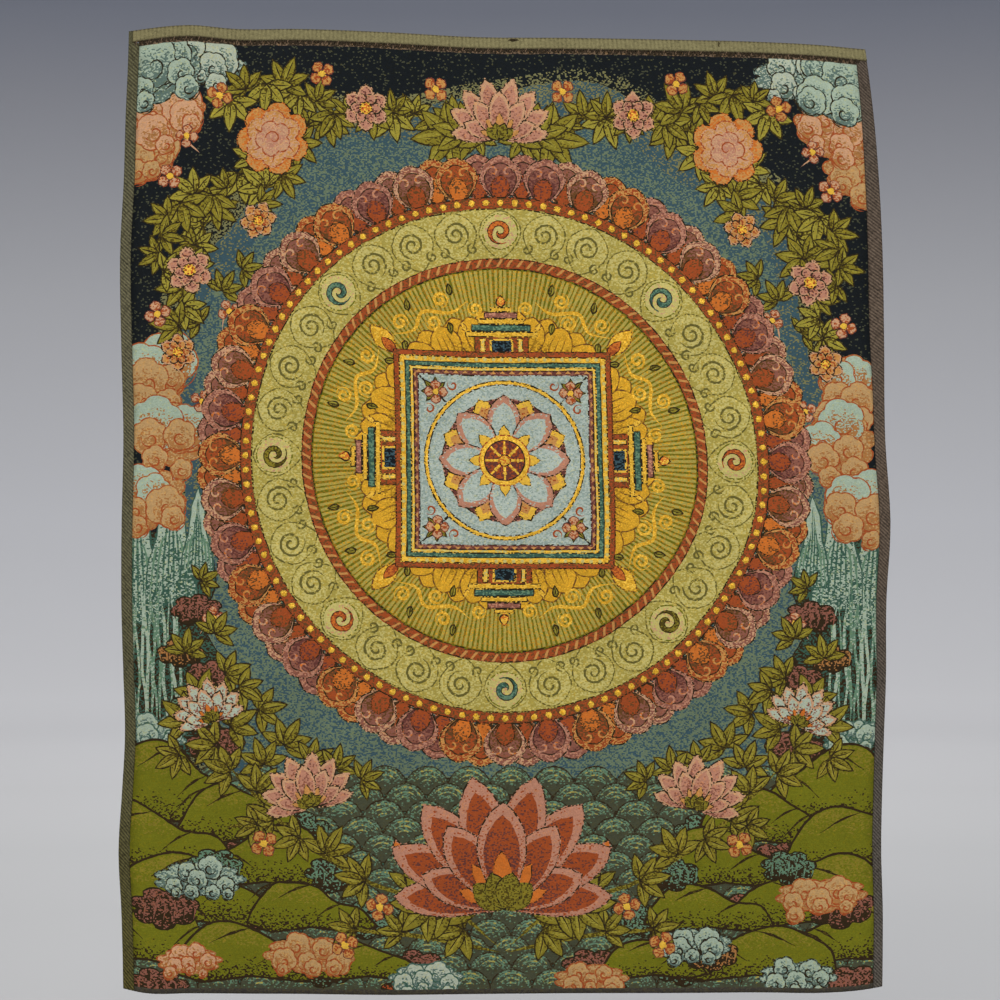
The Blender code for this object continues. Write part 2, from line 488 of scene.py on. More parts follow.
def blossom(draft, size, outer, inner):
    """A round open flower seen from the front: two rounds of petals and a beaded heart."""
    for turn, reach in ((0, 1.0), (30, 0.7)):
        for _ in draft.turned(6, turn):
            petal(draft, size * reach, size * reach * 4.2 / 6, "blush", outer, inner, None, 0.62)
    draft.pad(circle(size * 0.27, 14), dye("sun", "orange", 0.3, glint=0.6))
    for k in range(5):
        angle = 2 * math.pi * k / 5
        draft.lay(circle(size * 0.05, 6, size * 0.15 * math.cos(angle), size * 0.15 * math.sin(angle)),
                  dye("rust"), SUNK)


def peony(draft, size):
    """A full flower: rounds of scalloped petals, each with crease lines, inside an orange skirt."""
    draft.pad(scalloped(size, 7, 0.2, 7, 12), dye("orange", "peach", 0.0, 1.0, (size * 0.6,), (size,), True))
    field = dye("blush", "peach", 0.1, 0.9, (size * 0.4,), (size * 0.8,), True)
    draft.pad(scalloped(size * 0.78, 6, 0.2, 7, 40), field, "rust")
    for _ in draft.turned(6, 10):
        crease = [(size * 0.3, size * 0.04), (size * 0.48, -size * 0.02), (size * 0.68, size * 0.05)]
        draft.line(through(crease, 6), 0.8, dye("rust"), SUNK)
    heart = dye("rose", "blush", 0.2, 1.0, (size * 0.1,), (size * 0.5,), True)
    draft.pad(scalloped(size * 0.5, 5, 0.22, 7, 0), heart, "rust")
    draft.line(spiral(size * 0.26, 1.1, 12), 0.9, dye("rust"), SUNK)


def posy(draft, size, outer="peach", inner="rust"):
    """A small four-petalled flower."""
    paint = dye(inner, outer, 0.1, 1.0, (0, 0), (0, size))
    for _ in draft.turned(4, 45):
        draft.pad(blade(size, size * 0.9, 0.62, 0, 6), paint, "plum", 0.6)
    draft.pad(circle(size * 0.3, 9), dye("sun"), "plum", 0.5)


def puff(draft, radius, low, high, edge, hand):
    """One lobe of cloud: a pale rim, a field that darkens downwards, a curl and hatching."""
    draft.pad(scalloped(radius, 5, 0.13, 6, 20 * hand), dye(low, high, 0.55, 1.0, (0, -radius), (0, 0)), edge)
    with draft.at(-0.06 * radius, -0.14 * radius):
        field = dye(low, high, 0.0, 0.85, (0, -radius * 0.6), (0, radius * 0.55))
        draft.lay(circle(radius * 0.7, 14), field, LOW)
        draft.line(spiral(radius * 0.5, 1.0, 12, hand, 90 + 75 * hand, 0.2), 1.05, dye(edge), SUNK)
        for reach, first in ((0.9, 205), (0.72, 222)):
            draft.line(arc(radius * reach, first, first + 75, 6), 0.8, dye(edge), SUNK)


def billow(draft, wide, tall, seed, low, high, edge, cap=None):
    """A bank of cloud: one uneven body, with large lobes along its top and smaller ones in front."""
    rng = np.random.default_rng(seed)
    body = scalloped(1.0, 9, 0.16, 6, rng.uniform(0, 40)) * (wide * 0.52, tall * 0.42)
    draft.pad(body, dye(low, high, 0.1, 0.7, (0, -tall / 2), (0, tall / 2)), edge)
    for level, lobe, spread in ((0.2, 0.34, 0.72), (-0.06, 0.28, 0.95), (-0.3, 0.2, 0.86)):
        reach = wide * 0.44 * spread
        count = max(2, int(round(reach / (tall * lobe) * 0.86)))
        for k in rng.permutation(count):
            x = reach * (2 * (k + 0.5) / count - 1) + rng.uniform(-0.1, 0.1) * tall
            y = tall * (level + rng.uniform(-0.09, 0.09)) - (x / wide) ** 2 * tall * 0.6
            crown = cap if cap and level > 0 else high
            with draft.at(x, y, rng.uniform(-14, 14)):
                puff(draft, tall * lobe * rng.uniform(0.72, 1.2), low, crown, edge, 1 if x < 0 else -1)


def disc(draft, radius, paint, edge="ink", height=LOW, count=96):
    draft.pad(circle(radius, count), paint, edge, EDGE, height)


def ring_of(draft, count, radius, motif, start=0.0):
    """A motif repeated round a circle, its +y pointing outwards."""
    for k in range(count):
        angle = start + 360 * k / count
        with draft.at(-radius * math.sin(math.radians(angle)), radius * math.cos(math.radians(angle)), angle):
            motif(draft, k)


def squircle(power, count):
    angles = np.linspace(0, 2 * math.pi, count, endpoint=False)
    cos, sin = np.cos(angles), np.sin(angles)
    return np.stack([np.sign(cos) * np.abs(cos) ** (2 / power), np.sign(sin) * np.abs(sin) ** (2 / power)], 1)


def sky(draft):
    """Dark cloth to the corners, with a speckled blue field that thins out to them."""
    draft.lay(box(-HALF_WIDTH, -HALF_HEIGHT, HALF_WIDTH, HALF_HEIGHT), dye("navy", "night", 0.09))
    lobes = 1 + 0.035 * np.cos(np.linspace(0, 2 * math.pi, 110, endpoint=False) * 9)[:, None]
    field = squircle(2.8, 110) * lobes * (0.93 * HALF_WIDTH, 0.93 * HALF_HEIGHT) + (0, 2)
    draft.lay(field, dye("navy", "mist", 0.0, 0.6, (300,), (262,), True), GROUND)
    inner = squircle(2.7, 110) * lobes * (0.89 * HALF_WIDTH, 0.905 * HALF_HEIGHT) + (0, 2)
    draft.lay(inner, dye("mist", "deep", 0.45, 0.8, (280,), (236,), True), GROUND)
    heart = squircle(2.6, 110) * lobes * (0.84 * HALF_WIDTH, 0.82 * HALF_HEIGHT) + (0, 6)
    draft.lay(heart, dye("deep", "sky", 0.3, 0.6, (262,), (190,), True), GROUND)


def big_petal(draft, k):
    """A broad petal of the outer ring: a rim, a faded field and a coloured heart under two curls."""
    rim, outer, inner, heart = (("rose", "mauve", "plum", "rust"), ("peach", "rust", "brown", "orange"),
                                ("blush", "mauve", "brown", "rust"))[k % 3]
    draft.pad(blade(30, 27, 0.56, 0, 12, 0.6), dye(rim, outer, 0.25, 0.6, (0, 0), (0, 30)))
    draft.pad(blade(25.5, 21, 0.58, 0, 11, 0.62), dye(inner, outer, 0.0, 0.9, (0, 4), (0, 24)), "earth", 0.8)
    draft.pad(blade(17.5, 12.5, 0.58, 0, 9, 0.66), dye(heart, inner, 0.1, 0.5, (0, 6), (0, 17)), "earth", 0.7)
    with draft.at(0, 19.5):
        for hand in (1, -1):
            with draft.at(4.6 * hand, 0):
                curl = spiral(3.6, 0.9, 11, hand, 90 - 90 * hand, 0.25)
                draft.line(curl, 1.2, dye(rim, "orange", 0.3), RAISED)


def mandala(draft):
    """Rings of petals, beads and scrolls round a rayed field and a square, gated court."""
    bead = dye("sun", "gold", 0.4, glint=0.9)
    ring_of(draft, 40, 160, big_petal, start=4.5)
    ring_of(draft, 40, 159, big_petal)
    disc(draft, 163, dye("rust", "brown", 0.4))
    ring_of(draft, 112, 159.4, lambda d, k: d.pad(circle(2.3, 7), bead, "brown", 0.4))
    disc(draft, 156, dye("straw", "cream", 0.35))
    ring_of(draft, 32, 124, scrolled_petal)
    disc(draft, 125, dye("rust", "brown", 0.3))
    twist = [(-2.6, 0), (-0.9, 0), (1.9, 4.6), (0.2, 4.6)]
    ring_of(draft, 120, 119.7, lambda d, k: d.lay(twist, dye("peach"), LOW))
    disc(draft, 119, dye("olive", "ochre", 0.4), height=GROUND)
    rays(draft)
    ring_of(draft, 28, 66, gold_petal, start=360 / 56)
    ring_of(draft, 28, 64, gold_petal)
    for _ in draft.turned(4, 45):
        scrollwork(draft)
    with draft.at(size=0.8):
        court(draft)
        inner_circle(draft)


def scrolled_petal(draft, k):
    """A pale petal of the broad ring: a scroll line on most, and a coloured curl on every fourth."""
    draft.pad(blade(31, 27, 0.56, 0, 12, 0.6), dye("straw", "cream", 0.25, 0.75, (0, 0), (0, 30)), "weed")
    hand = 1 if k % 2 else -1
    with draft.at(y=17.5):
        if k % 4 == 0:
            dark, pale = (("rust", "orange"), ("teal", "sea"), ("moss", "leaf"))[k // 4 % 3]
            paint = dye(dark, pale, 0.0, 0.9, (0, -8), (0, 8))
            draft.pad(circle(11.4, 22), dye("cream", "blush", 0.15), "olive", 0.8)
            draft.pad(band(spiral(7.9, 1.4, 22, hand, -60, 0.16), 3.7, 0.25), paint, "earth", 0.6)
        else:
            scroll = dye("weed", "straw", 0.12)
            draft.line(spiral(8.8, 1.9, 24, hand, -90, 0.12), 1.5, scroll, SUNK, 0.1)
            for side in (-1, 1):
                with draft.at(9.0 * side, -10.5):
                    draft.line(spiral(3.8, 1.1, 10, side, 90, 0.2), 1.4, scroll, SUNK, 0.1)


def rays(draft):
    """Fine rays, wider towards the rim, a little uneven as a weaver's steps make them."""
    rng = np.random.default_rng(3)
    count = 240
    for k in range(count):
        with draft.at(angle=360 * k / count + rng.uniform(-0.12, 0.12)):
            draft.lay([(-0.32, 50), (0.32, 50), (0.88, 117.6), (-0.88, 117.6)],
                      dye("gold", "straw", 0.45, 0.85, (0, 50), (0, 100), glint=0.35), RAISED)


def scrollwork(draft):
    """A jewelled leaf at a corner of the court, between gold volutes on a running stem."""
    gold = dye("gold", "sun", 0.3, glint=0.8)
    volutes = ((15, 103, 5.6, -110), (30, 89, 5.6, 80), (43, 96, 5.2, -120), (55, 77, 5.0, 60))
    for hand in (1, -1):
        stem = [(6 * hand, 101), (18 * hand, 94), (30 * hand, 98), (42 * hand, 86), (54 * hand, 84)]
        draft.line(through(stem, 20), 2.2, gold, RAISED)
        for x, y, reach, start in volutes:
            with draft.at(x * hand, y, start * hand):
                draft.line(spiral(reach, 1.7, 20, hand, 0, 0.15), 1.9, gold, RAISED)
        for x, y, lean in ((9, 94, -150), (24, 104, 20), (37, 83, -160), (50, 93, 20)):
            with draft.at(x * hand, y, -lean * hand):
                leaf(draft, 8, 4.5, 0.2 * hand)
    with draft.at(0, 91):
        draft.pad(blade(24, 12, 0.5, 0, 11), dye("gold", "sun", 0.4, glint=0.8), "brown")
        draft.pad(blade(14, 6.5, 0.5, 0, 8), dye("rust", "orange", 0.2, 0.9, (0, 0), (0, 13)), "earth", 0.6)


def gold_petal(draft, k):
    """A broad gold petal behind the court, with two creases."""
    paint = dye("ochre", "gold", 0.1, 1.0, (0, 2), (0, 16), glint=0.8)
    draft.pad(blade(27, 20, 0.55, 0, 12, 0.62), paint, "brown")
    for side in (-1, 0, 1):
        crease = through([(side * 1.5, 4), (side * 3.8, 12), (side * 3.2, 21)], 7)
        draft.line(crease, 0.8, dye("ochre", "brown", 0.4), SUNK)


COURT = 84.0


def court(draft):
    """The square court: walls in bands of colour, a gate on each side and four coloured floors."""
    for _ in draft.turned(4):
        gate(draft)
    bands = ((COURT, "rust", "brown", RAISED), (COURT - 4.2, "sun", "gold", PROUD),
             (COURT - 8.4, "teal", "sea", LOW), (COURT - 12.0, "sun", "cream", RAISED),
             (COURT - 14.6, "plum", "mauve", LOW))
    for half, a, b, height in bands:
        draft.pad(box(-half, -half, half, half), dye(a, b, 0.35, glint=0.5), "ink", 0.8, height)
    for _ in draft.turned(4):
        for k in range(-11, 12):
            draft.lay(circle(1.5, 6, k * 6.6, COURT - 6.2), dye("cream"), PROUD)
        low = COURT - 17.2
        for x in np.arange(-9, 10) * 7.2:
            draft.lay([(x - 2.4, low), (x + 2.4, low), (x, low + 2.2)], dye("peach"), RAISED)
    floor = COURT - 18.4
    for _ in draft.turned(4):
        paint = dye("ice", "glacier", 0.2, 0.5, (0, 0), (0, floor))
        draft.pad([(0, 0), (floor, floor), (-floor, floor)], paint)
    for _ in draft.turned(4, 45):
        with draft.at(y=floor * 1.12):
            leaf_spray(draft, 13)
            posy(draft, 9.5, "blush", "rust")
        for hand in (1, -1):
            with draft.at(13 * hand, 68):
                draft.line(spiral(4.4, 1.1, 13, hand, 90, 0.2), 1.2, dye("rust"), SUNK)


def gate(draft):
    """A stepped gate in the middle of a wall, with a roof of tiers and a jewel."""
    tiers = ((21, 82, 96, "rust", "brown"), (28, 95, 99.5, "sun", "gold"), (23, 99.5, 105, "teal", "sea"),
             (18, 105, 109.5, "sun", "gold"), (13, 109.5, 114.5, "mauve", "rose"),
             (8, 114.5, 118.5, "sun", "gold"))
    for half, low, high, a, b in tiers:
        draft.pad(box(-half, low, half, high), dye(a, b, 0.4, glint=0.5), "ink", 0.75)
    for hand in (1, -1):
        with draft.at(28 * hand, 99):
            draft.pad(blade(8, 5, 0.4, 0.4 * hand, 5), dye("sun", "gold", 0.3, glint=0.7), "brown", 0.6)
    draft.pad(box(-9, 82, 9, 94), dye("navy", "deep", 0.4), "sun", 1.3, LOW)
    for x in (-14.5, 14.5):
        draft.pad(box(x - 2.2, 82, x + 2.2, 94.5), dye("sun", "cream", 0.4, glint=0.6), "earth", 0.7)
    with draft.at(y=118):
        draft.pad(blade(10, 8, 0.4, 0, 7), dye("orange", "sun", 0.1, 0.9, (0, 0), (0, 9), glint=0.7))


def inner_circle(draft):
    """The round heart of the court: a faded ring, an eight-petalled lotus and a wheel."""
    disc(draft, 62, dye("sun", "gold", 0.4, glint=0.8), height=RAISED, count=72)
    disc(draft, 59, dye("ice", "glacier", 0.1, 0.6, (44,), (59,), True), "earth", count=72)
    disc(draft, 48, dye("rose", "plum", 0.1, 1.0, (30,), (47,), True), "earth", count=60)
    for _ in draft.turned(8, 22.5):
        petal(draft, 51, 22, "sun", "peach", "rust", None, 0.62)
    for _ in draft.turned(8):
        petal(draft, 51, 26, "rose", "ice", "glacier", "sun", 0.62)
    disc(draft, 20, dye("sun", "gold", 0.3, glint=0.9), "rust", RAISED, 40)
    disc(draft, 16, dye("plum", "rust", 0.4), count=36)
    for _ in draft.turned(8):
        spoke = [(-1.1, 2), (1.1, 2), (0.7, 15), (-0.7, 15)]
        draft.lay(spoke, dye("sun", "gold", 0.3, glint=0.9), RAISED)
        draft.pad(circle(1.7, 8, 0, 10), dye("sun"), "rust", 0.4)
    disc(draft, 5, dye("orange", "sun", 0.2, 0.9, (0,), (5,), True), height=PROUD, count=16)


def vine(draft, seed):
    """A scrolling stem with leaves and flowers in an upper corner of the field."""
    rng = np.random.default_rng(seed)
    stems = (
        [(14, 240), (60, 250), (108, 244), (148, 224), (178, 190), (194, 146), (200, 104)],
        [(100, 246), (126, 260), (150, 266), (172, 254)],
        [(172, 198), (196, 194), (210, 172), (208, 146)],
        [(126, 236), (132, 214), (148, 200), (150, 186)],
    )
    for stem in stems:
        path = through(stem, 22)
        draft.line(path, 2.6, dye("moss", "leaf", 0.5), RAISED, 0.2)
        reach = np.linalg.norm(np.diff(path, axis=0), axis=1).cumsum()
        for step in np.arange(8, reach[-1], 11.5):
            k = int(np.searchsorted(reach, step))
            way = path[k + 1] - path[k]
            side = 1 if int(step / 11.5) % 2 else -1
            turn = math.degrees(math.atan2(way[1], way[0])) - 90 + side * rng.uniform(50, 95)
            with draft.at(*path[k], turn):
                leaf_spray(draft, rng.uniform(15, 21), "leaf" if rng.random() < 0.75 else "sprout")
    flowers = ((142, 232, -40, 0), (192, 150, -70, 1), (84, 252, 0, 1), (150, 182, 20, 2), (40, 266, 0, 3),
               (112, 272, 10, 3), (176, 258, -30, 3), (212, 124, -60, 3), (206, 208, 10, 3), (200, 100, 0, 2))
    for x, y, turn, kind in flowers:
        with draft.at(x, y, turn):
            if kind == 0:
                peony(draft, 23)
            elif kind == 1:
                blossom(draft, 15, "rose", "plum")
            elif kind == 2:
                blossom(draft, 12, "peach", "rust")
            else:
                posy(draft, 8.5, "peach" if x < 180 else "blush")


def crest(draft):
    """The lotus over the mandala, on a bed of leaves."""
    leaves(draft, [(-x * hand, 238, angle * hand, size) for x, angle, size in (
        (18, 62, 25), (30, 98, 27), (8, 22, 24), (22, 30, 24)) for hand in (1, -1)])
    with draft.at(0, 236):
        lotus_side(draft, 38, "blush", "rose", "mauve", "peach")


def peak(draft, x, foot, tall, wide):
    """A pale, steep rock whose sides break up into strands."""
    side = [(wide, foot), (wide * 0.86, foot + tall * 0.3), (wide * 0.55, foot + tall * 0.5),
            (wide * 0.42, foot + tall * 0.78), (0, foot + tall)]
    shape = np.array(side + [(-across, height) for across, height in side[-2::-1]]) + (x, 0)
    draft.pad(shape, dye("teal", "foam", 0.3, 1.0, (x, foot), (x, foot + tall * 0.7)), "teal", 0.9, LOW)
    for share in np.linspace(-0.8, 0.8, 8):
        top = foot + tall * (0.96 - abs(share) * 0.75)
        reach = share * wide
        fall = [(x + reach * 0.25, top), (x + reach * 0.7, foot + tall * 0.4), (x + reach, foot)]
        draft.line(through(fall, 8), 1.3, dye("teal" if abs(share) < 0.5 else "sea", "sea", 0.3), SUNK, 0.4)


def falls(draft, left, right, low, high):
    """Falling water in pale strands of uneven length and width, over dark rock."""
    rng = np.random.default_rng(9)
    x = left
    while x < right:
        start, end = high - rng.uniform(0, 16), low + rng.uniform(0, 22)
        strand = [(x + 1.1 * math.sin(x + t * 2.1), start + (end - start) * t / 5) for t in range(6)]
        width, share = rng.uniform(1.1, 2.0), rng.uniform(0.1, 0.8)
        draft.line(through(strand, 12), width, dye("foam", "sea", share), RAISED, 0.2)
        x += rng.uniform(2.0, 3.4)


def crag(draft, x, y, size, seed, light):
    """A hatched rock: an uneven lump with pale strands over its shoulder."""
    rng = np.random.default_rng(seed)
    lump = scalloped(1.0, 7, 0.22, 5, rng.uniform(0, 50)) * (size, size * 0.62)
    with draft.at(x, y):
        draft.pad(lump, dye("earth", light, 0.1, 0.6, (0, -size * 0.6), (0, size * 0.5)))
        for k in range(6):
            start = size * (0.28 * k - 0.75)
            strand = [(start, size * (0.36 - 0.05 * abs(k - 2.5))), (start + size * 0.2, size * 0.08),
                      (start + size * 0.14, -size * 0.32)]
            draft.line(through(strand, 7), 1.3, dye(light, "earth", 0.15), RAISED, 0.4)


def flank(draft, seed):
    """The side of the field: rocks and falling water behind a bank of peach cloud."""
    slope = [(182, -12), (176, -40), (184, -66), (172, -92), (178, -118), (166, -146)]
    ground = np.concatenate([through(slope, 26), [(232, -150), (232, -8)]])
    draft.pad(ground, dye("earth", "teal", 0.3, 0.6, (0, -150), (0, -10)), "ink")
    for x, foot, tall, wide in ((226, -66, 98, 18), (204, -54, 84, 17), (188, -40, 58, 11)):
        peak(draft, x, foot, tall, wide)
    falls(draft, 200, 230, -142, -36)
    for x, y, size, light in ((188, -58, 17, "mauve"), (199, -84, 15, "amber"), (180, -98, 17, "mauve"),
                              (192, -118, 16, "sea"), (178, -140, 19, "mauve")):
        crag(draft, x, y, size, seed + int(size * 3), light)
    for x, y, wide, tall, turn in ((214, 86, 38, 46, -8), (206, 50, 46, 48, 14), (217, 10, 44, 44, -16)):
        with draft.at(x, y, turn):
            billow(draft, wide, tall, seed + int(y), "amber", "wheat", "rust", "foam")
    with draft.at(214, -134, 12):
        billow(draft, 36, 24, seed + 5, "stone", "foam", "teal")


def corner_clouds(draft, seed):
    """Pale and peach clouds in an upper corner."""
    for x, y, wide, tall, turn, low, high, edge in (
            (190, 278, 60, 34, 6, "stone", "pearl", "ink"),
            (222, 222, 40, 40, 0, "amber", "wheat", "rust"),
            (208, 244, 48, 38, -24, "amber", "blush", "rust"),
            (214, 272, 52, 46, -16, "stone", "foam", "ink")):
        with draft.at(x, y, turn):
            billow(draft, wide, tall, seed + int(x + y), low, high, edge)


def mound(draft, x, foot, wide, tall, seed):
    """A long, low hill: bright, speckled to its foot, with dark strokes sloping in from its ridge."""
    rng = np.random.default_rng(seed)
    lean = rng.choice((-1, 1))
    ridge = [(-0.5, 0.0), (-0.43, 0.42), (-0.3, 0.86), (-0.14, 1.0), (0.04, 0.86), (0.2, 0.6), (0.36, 0.4),
             (0.5, 0.0)]
    ridge = np.array(ridge) * (lean * wide, tall) + (x, foot) + rng.uniform(-0.06, 0.06, (8, 1)) * tall
    top = through(ridge, 30)
    under = [(x + lean * wide * share, foot - tall * drop)
             for share, drop in ((0.3, 0.16), (0.0, 0.06), (-0.3, 0.18))]
    draft.pad(np.concatenate([top, under]),
              dye("earth", "fern", 0.35, 1.0, (x, foot - tall * 0.1), (x, foot + tall * 0.3)), "earth", 1.4)
    glow = np.concatenate([top[5:22] - (0, 2.5), [top[19] - (0, tall * 0.3), top[12] - (0, tall * 0.42)]])
    draft.lay(glow, dye("fern", "leaf", 0.0, 0.75, (x, foot + tall * 0.4), (x, foot + tall)), RAISED)
    for place, reach, dip in ((9, 0.2, 0.42), (16, 0.26, 0.3), (22, 0.2, 0.3)):
        start, across, fall = top[place], lean * wide * reach, tall * dip
        stroke = [start, start - (across * 0.5, fall * 0.35), start - (across, fall)]
        draft.line(through(stroke, 9), 3.2, dye("earth", "moss", 0.2), SUNK, 0.9)


def water(draft, left, low, right, high, rows):
    """Rows of overlapping waves, each combed with pale strands."""
    draft.lay(box(left, low, right, high), dye("teal", "earth", 0.55), GROUND)
    step = (high - low) / rows
    radius = step * 1.3
    for row in range(rows):
        y = high - step * (row + 0.6)
        count = int((right - left) / (radius * 1.9)) + 1
        for k in range(count):
            x = left + (k + (row % 2) * 0.5) * radius * 1.9
            draft.pad(arc(radius, -20, 200, 14, x, y), dye("night", "sea", 0.0, 0.6, (x, y), (x, y + radius)),
                      "earth", 0.8, LOW)
            for reach, first in ((0.8, 20), (0.58, 35), (0.36, 50)):
                strand = arc(radius * reach, first, 160 - first / 2, 8, x, y)
                draft.line(strand, 0.9, dye("sea", "straw", 0.35), RAISED)


def lower_scene(draft):
    """Water, hills, growth and clouds along the foot of the picture."""
    water(draft, -HALF_WIDTH, -HALF_HEIGHT - 2, HALF_WIDTH, -158, 13)
    for side, shift in ((-1, 0), (1, 9)):
        for k, (x, foot, wide, tall) in enumerate((
                (206, -184, 92, 46), (160, -196, 84, 34), (214, -214, 104, 40), (146, -222, 96, 34),
                (190, -246, 112, 40), (118, -250, 84, 28), (220, -270, 84, 34), (156, -280, 104, 32),
                (84, -280, 70, 22))):
            crag(draft, side * (x - wide * 0.42), foot + 4, 20, 40 + k + shift, "sea" if k % 2 else "mauve")
            mound(draft, side * (x + shift * (k % 3 - 1)), foot, wide, tall, 10 * k + shift)
        for x, y, size, light in ((208, -240, 22, "mauve"), (104, -218, 18, "sea"), (214, -288, 20, "mauve"),
                                  (60, -290, 17, "rust"), (176, -214, 18, "sea"), (128, -268, 18, "amber")):
            crag(draft, side * x, y, size, 80 + int(x), light)
    for x, y, wide, tall, seed, low, high, edge in (
            (-186, -222, 56, 26, 1, "stone", "foam", "ink"),
            (196, -232, 56, 27, 2, "amber", "wheat", "rust"),
            (-120, -268, 56, 28, 3, "amber", "wheat", "rust"),
            (116, -262, 50, 26, 4, "stone", "foam", "ink"),
            (-48, -282, 46, 22, 5, "stone", "pearl", "teal"),
            (54, -283, 46, 22, 6, "amber", "wheat", "rust"),
            (-194, -272, 40, 20, 7, "amber", "blush", "rust"),
            (182, -282, 48, 24, 8, "stone", "foam", "ink")):
        with draft.at(x, y):
            billow(draft, wide, tall, seed, low, high, edge)


def lotus_pond(draft):
    """The great lotus under the mandala, with its leaves, buds and two smaller flowers."""
    for _ in draft.mirrored():
        for stem in ([(4, -262), (34, -238), (84, -222), (132, -190), (176, -146)],
                     [(2, -266), (52, -256), (96, -252)], [(120, -198), (146, -188), (170, -190)]):
            draft.line(through(stem, 18), 2.6, dye("moss", "leaf", 0.5), RAISED, 0.15)
        leaves(draft, (
            (34, -236, -20, 22), (56, -228, 40, 22), (84, -222, -80, 21), (24, -252, -100, 24),
            (62, -254, -40, 19), (108, -206, 30, 21), (16, -228, -30, 22), (140, -186, -60, 21),
            (124, -196, -110, 19), (152, -168, 40, 20), (168, -156, -70, 20), (150, -188, -120, 17),
            (92, -252, -80, 18)))
        with draft.at(118, -178, -14):
            lotus_side(draft, 34, "blush", "rose", "mauve", "peach")
        for x, y, turn in ((76, -238, -30), (146, -200, 10), (98, -262, 20)):
            with draft.at(x, y, turn):
                posy(draft, 9)
        with draft.at(60, -212, -14):
            draft.pad(blade(17, 9, 0.45, 0.1), dye("rose", "orange", 0.1, 0.9, (0, 0), (0, 15)))
    leaves(draft, [(-x * hand, -238, angle * hand, 27) for x, angle in ((32, 64), (15, 32), (44, 84))
                   for hand in (1, -1)])
    with draft.at(0, -240):
        lotus_side(draft, 82, "rose", "rust", "plum", "orange")


def sprigs(draft):
    """Lotus flowers, leaves and small sprigs in the open field beside the mandala."""
    for x, y, turn in ((168, 126, 20), (186, 70, -20), (178, -62, 40), (26, 214, 10), (196, 232, -40)):
        with draft.at(x, y, turn):
            draft.line([(0, -13), (1.5, -6), (0, 0)], 1.0, dye("blush"), LOW)
            posy(draft, 7.5, "blush", "rust")
    leaves(draft, (
        (170, -128, 60, 21), (188, -112, 20, 21), (196, -126, -50, 21), (152, -118, 80, 19),
        (178, -140, -90, 20), (196, -84, 10, 17), (200, -146, -120, 18), (136, -140, 30, 20),
        (172, -96, 70, 18), (178, -72, 30, 17), (164, -104, 120, 18), (120, -150, 60, 18),
        (104, -154, 10, 17), (148, -152, -20, 19), (186, -40, 60, 14), (88, -160, 70, 16),
        (172, 138, 30, 16), (186, 118, -60, 15), (160, 152, 80, 15)))
    with draft.at(180, -126, -20):
        lotus_side(draft, 27, "blush", "pearl", "mauve", "orange")


def picture():
    """The whole front, in the order in which it is drawn."""
    draft = Draft()
    sky(draft)
    for mirror in draft.mirrored():
        flank(draft, 20 + 7 * mirror)
        corner_clouds(draft, 50 + 7 * mirror)
    lower_scene(draft)
    for mirror in draft.mirrored():
        sprigs(draft)
        vine(draft, 5 + mirror)
    crest(draft)
    with draft.at(0, 38):
        mandala(draft)
    lotus_pond(draft)
    edges(draft)
    return draft


HEM_DEPTH = 3.2
STRIP_DEPTH = 2.8


def edges(draft):
    """The dull strip under the heading and the turned hem along the foot."""
    strip = box(-HALF_WIDTH, HALF_HEIGHT - STRIP_DEPTH, HALF_WIDTH, HALF_HEIGHT)
    draft.lay(strip, dye("umber", "dusk", 0.4), LOW)
    hem = box(-HALF_WIDTH, -HALF_HEIGHT, HALF_WIDTH, HEM_DEPTH - HALF_HEIGHT)
    draft.lay(hem, dye("dun", "slate", 0.5), LOW)


def underside():
    """The back of the cloth: loose floats, through which the picture's large forms still show."""
    draft = Draft()
    draft.lay(box(-HALF_WIDTH, -HALF_HEIGHT, HALF_WIDTH, HALF_HEIGHT), dye("brown", "ochre", 0.35))
    side, foot = HALF_WIDTH - 9, 9 - HALF_HEIGHT
    draft.lay(box(-side, foot + 131, side, -foot), dye("mist", "brown", 0.5))
    draft.lay(squircle(2.7, 60) * (HALF_WIDTH * 0.9, HALF_HEIGHT * 0.88), dye("sky", "brown", 0.45))
    draft.lay(box(-side, foot, side, -150), dye("leaf", "rust", 0.4))
    with draft.at(0, 38):
        draft.lay(circle(184, 60), dye("mauve", "brown", 0.5))
        draft.lay(circle(158, 60), dye("straw", "brown", 0.45))
        draft.lay(circle(122, 60), dye("ochre", "plum", 0.4))
        draft.lay(box(-72, -72, 72, 72), dye("glacier", "mauve", 0.5))
        draft.lay(circle(54, 40), dye("rust", "glacier", 0.35))
        draft.lay(circle(30, 30), dye("plum", "straw", 0.4))
    return draft


def linear(rgb):
    """Screen colours from 0 to 255 as linear light."""
    value = np.asarray(rgb, float) / 255
    return np.where(value <= 0.04045, value / 12.92, ((value + 0.055) / 1.055) ** 2.4)


def new_mesh(name, vertices, faces, materials, material_index=None):
    """A smooth mesh object from millimetre points."""
    mesh = bpy.data.meshes.new(name)
    mesh.from_pydata(vertices * MM, [], faces)
    for material in materials:
        mesh.materials.append(material)
    if material_index is not None:
        mesh.polygons.foreach_set("material_index", np.asarray(material_index, np.int32))
    mesh.shade_smooth()
    thing = bpy.data.objects.new(name, mesh)
    bpy.context.scene.collection.objects.link(thing)
    return thing


def dress(thing, first, second, spots, bake):
    """Gives each face corner its two threads, its place in the weave and its place in the baked picture."""
    for name, values in (("first_thread", first), ("second_thread", second)):
        layer = thing.data.attributes.new(name, "FLOAT_COLOR", "CORNER")
        layer.data.foreach_set("color", np.asarray(values, np.float32).ravel())
    layer = thing.data.attributes.new("cloth_place", "FLOAT_VECTOR", "CORNER")
    places = np.column_stack([spots, np.zeros(len(spots))])
    layer.data.foreach_set("vector", places.astype(np.float32).ravel())
    layer = thing.data.uv_layers.new(name="OFBake")
    layer.data.foreach_set("uv", np.asarray(bake, np.float32).ravel())


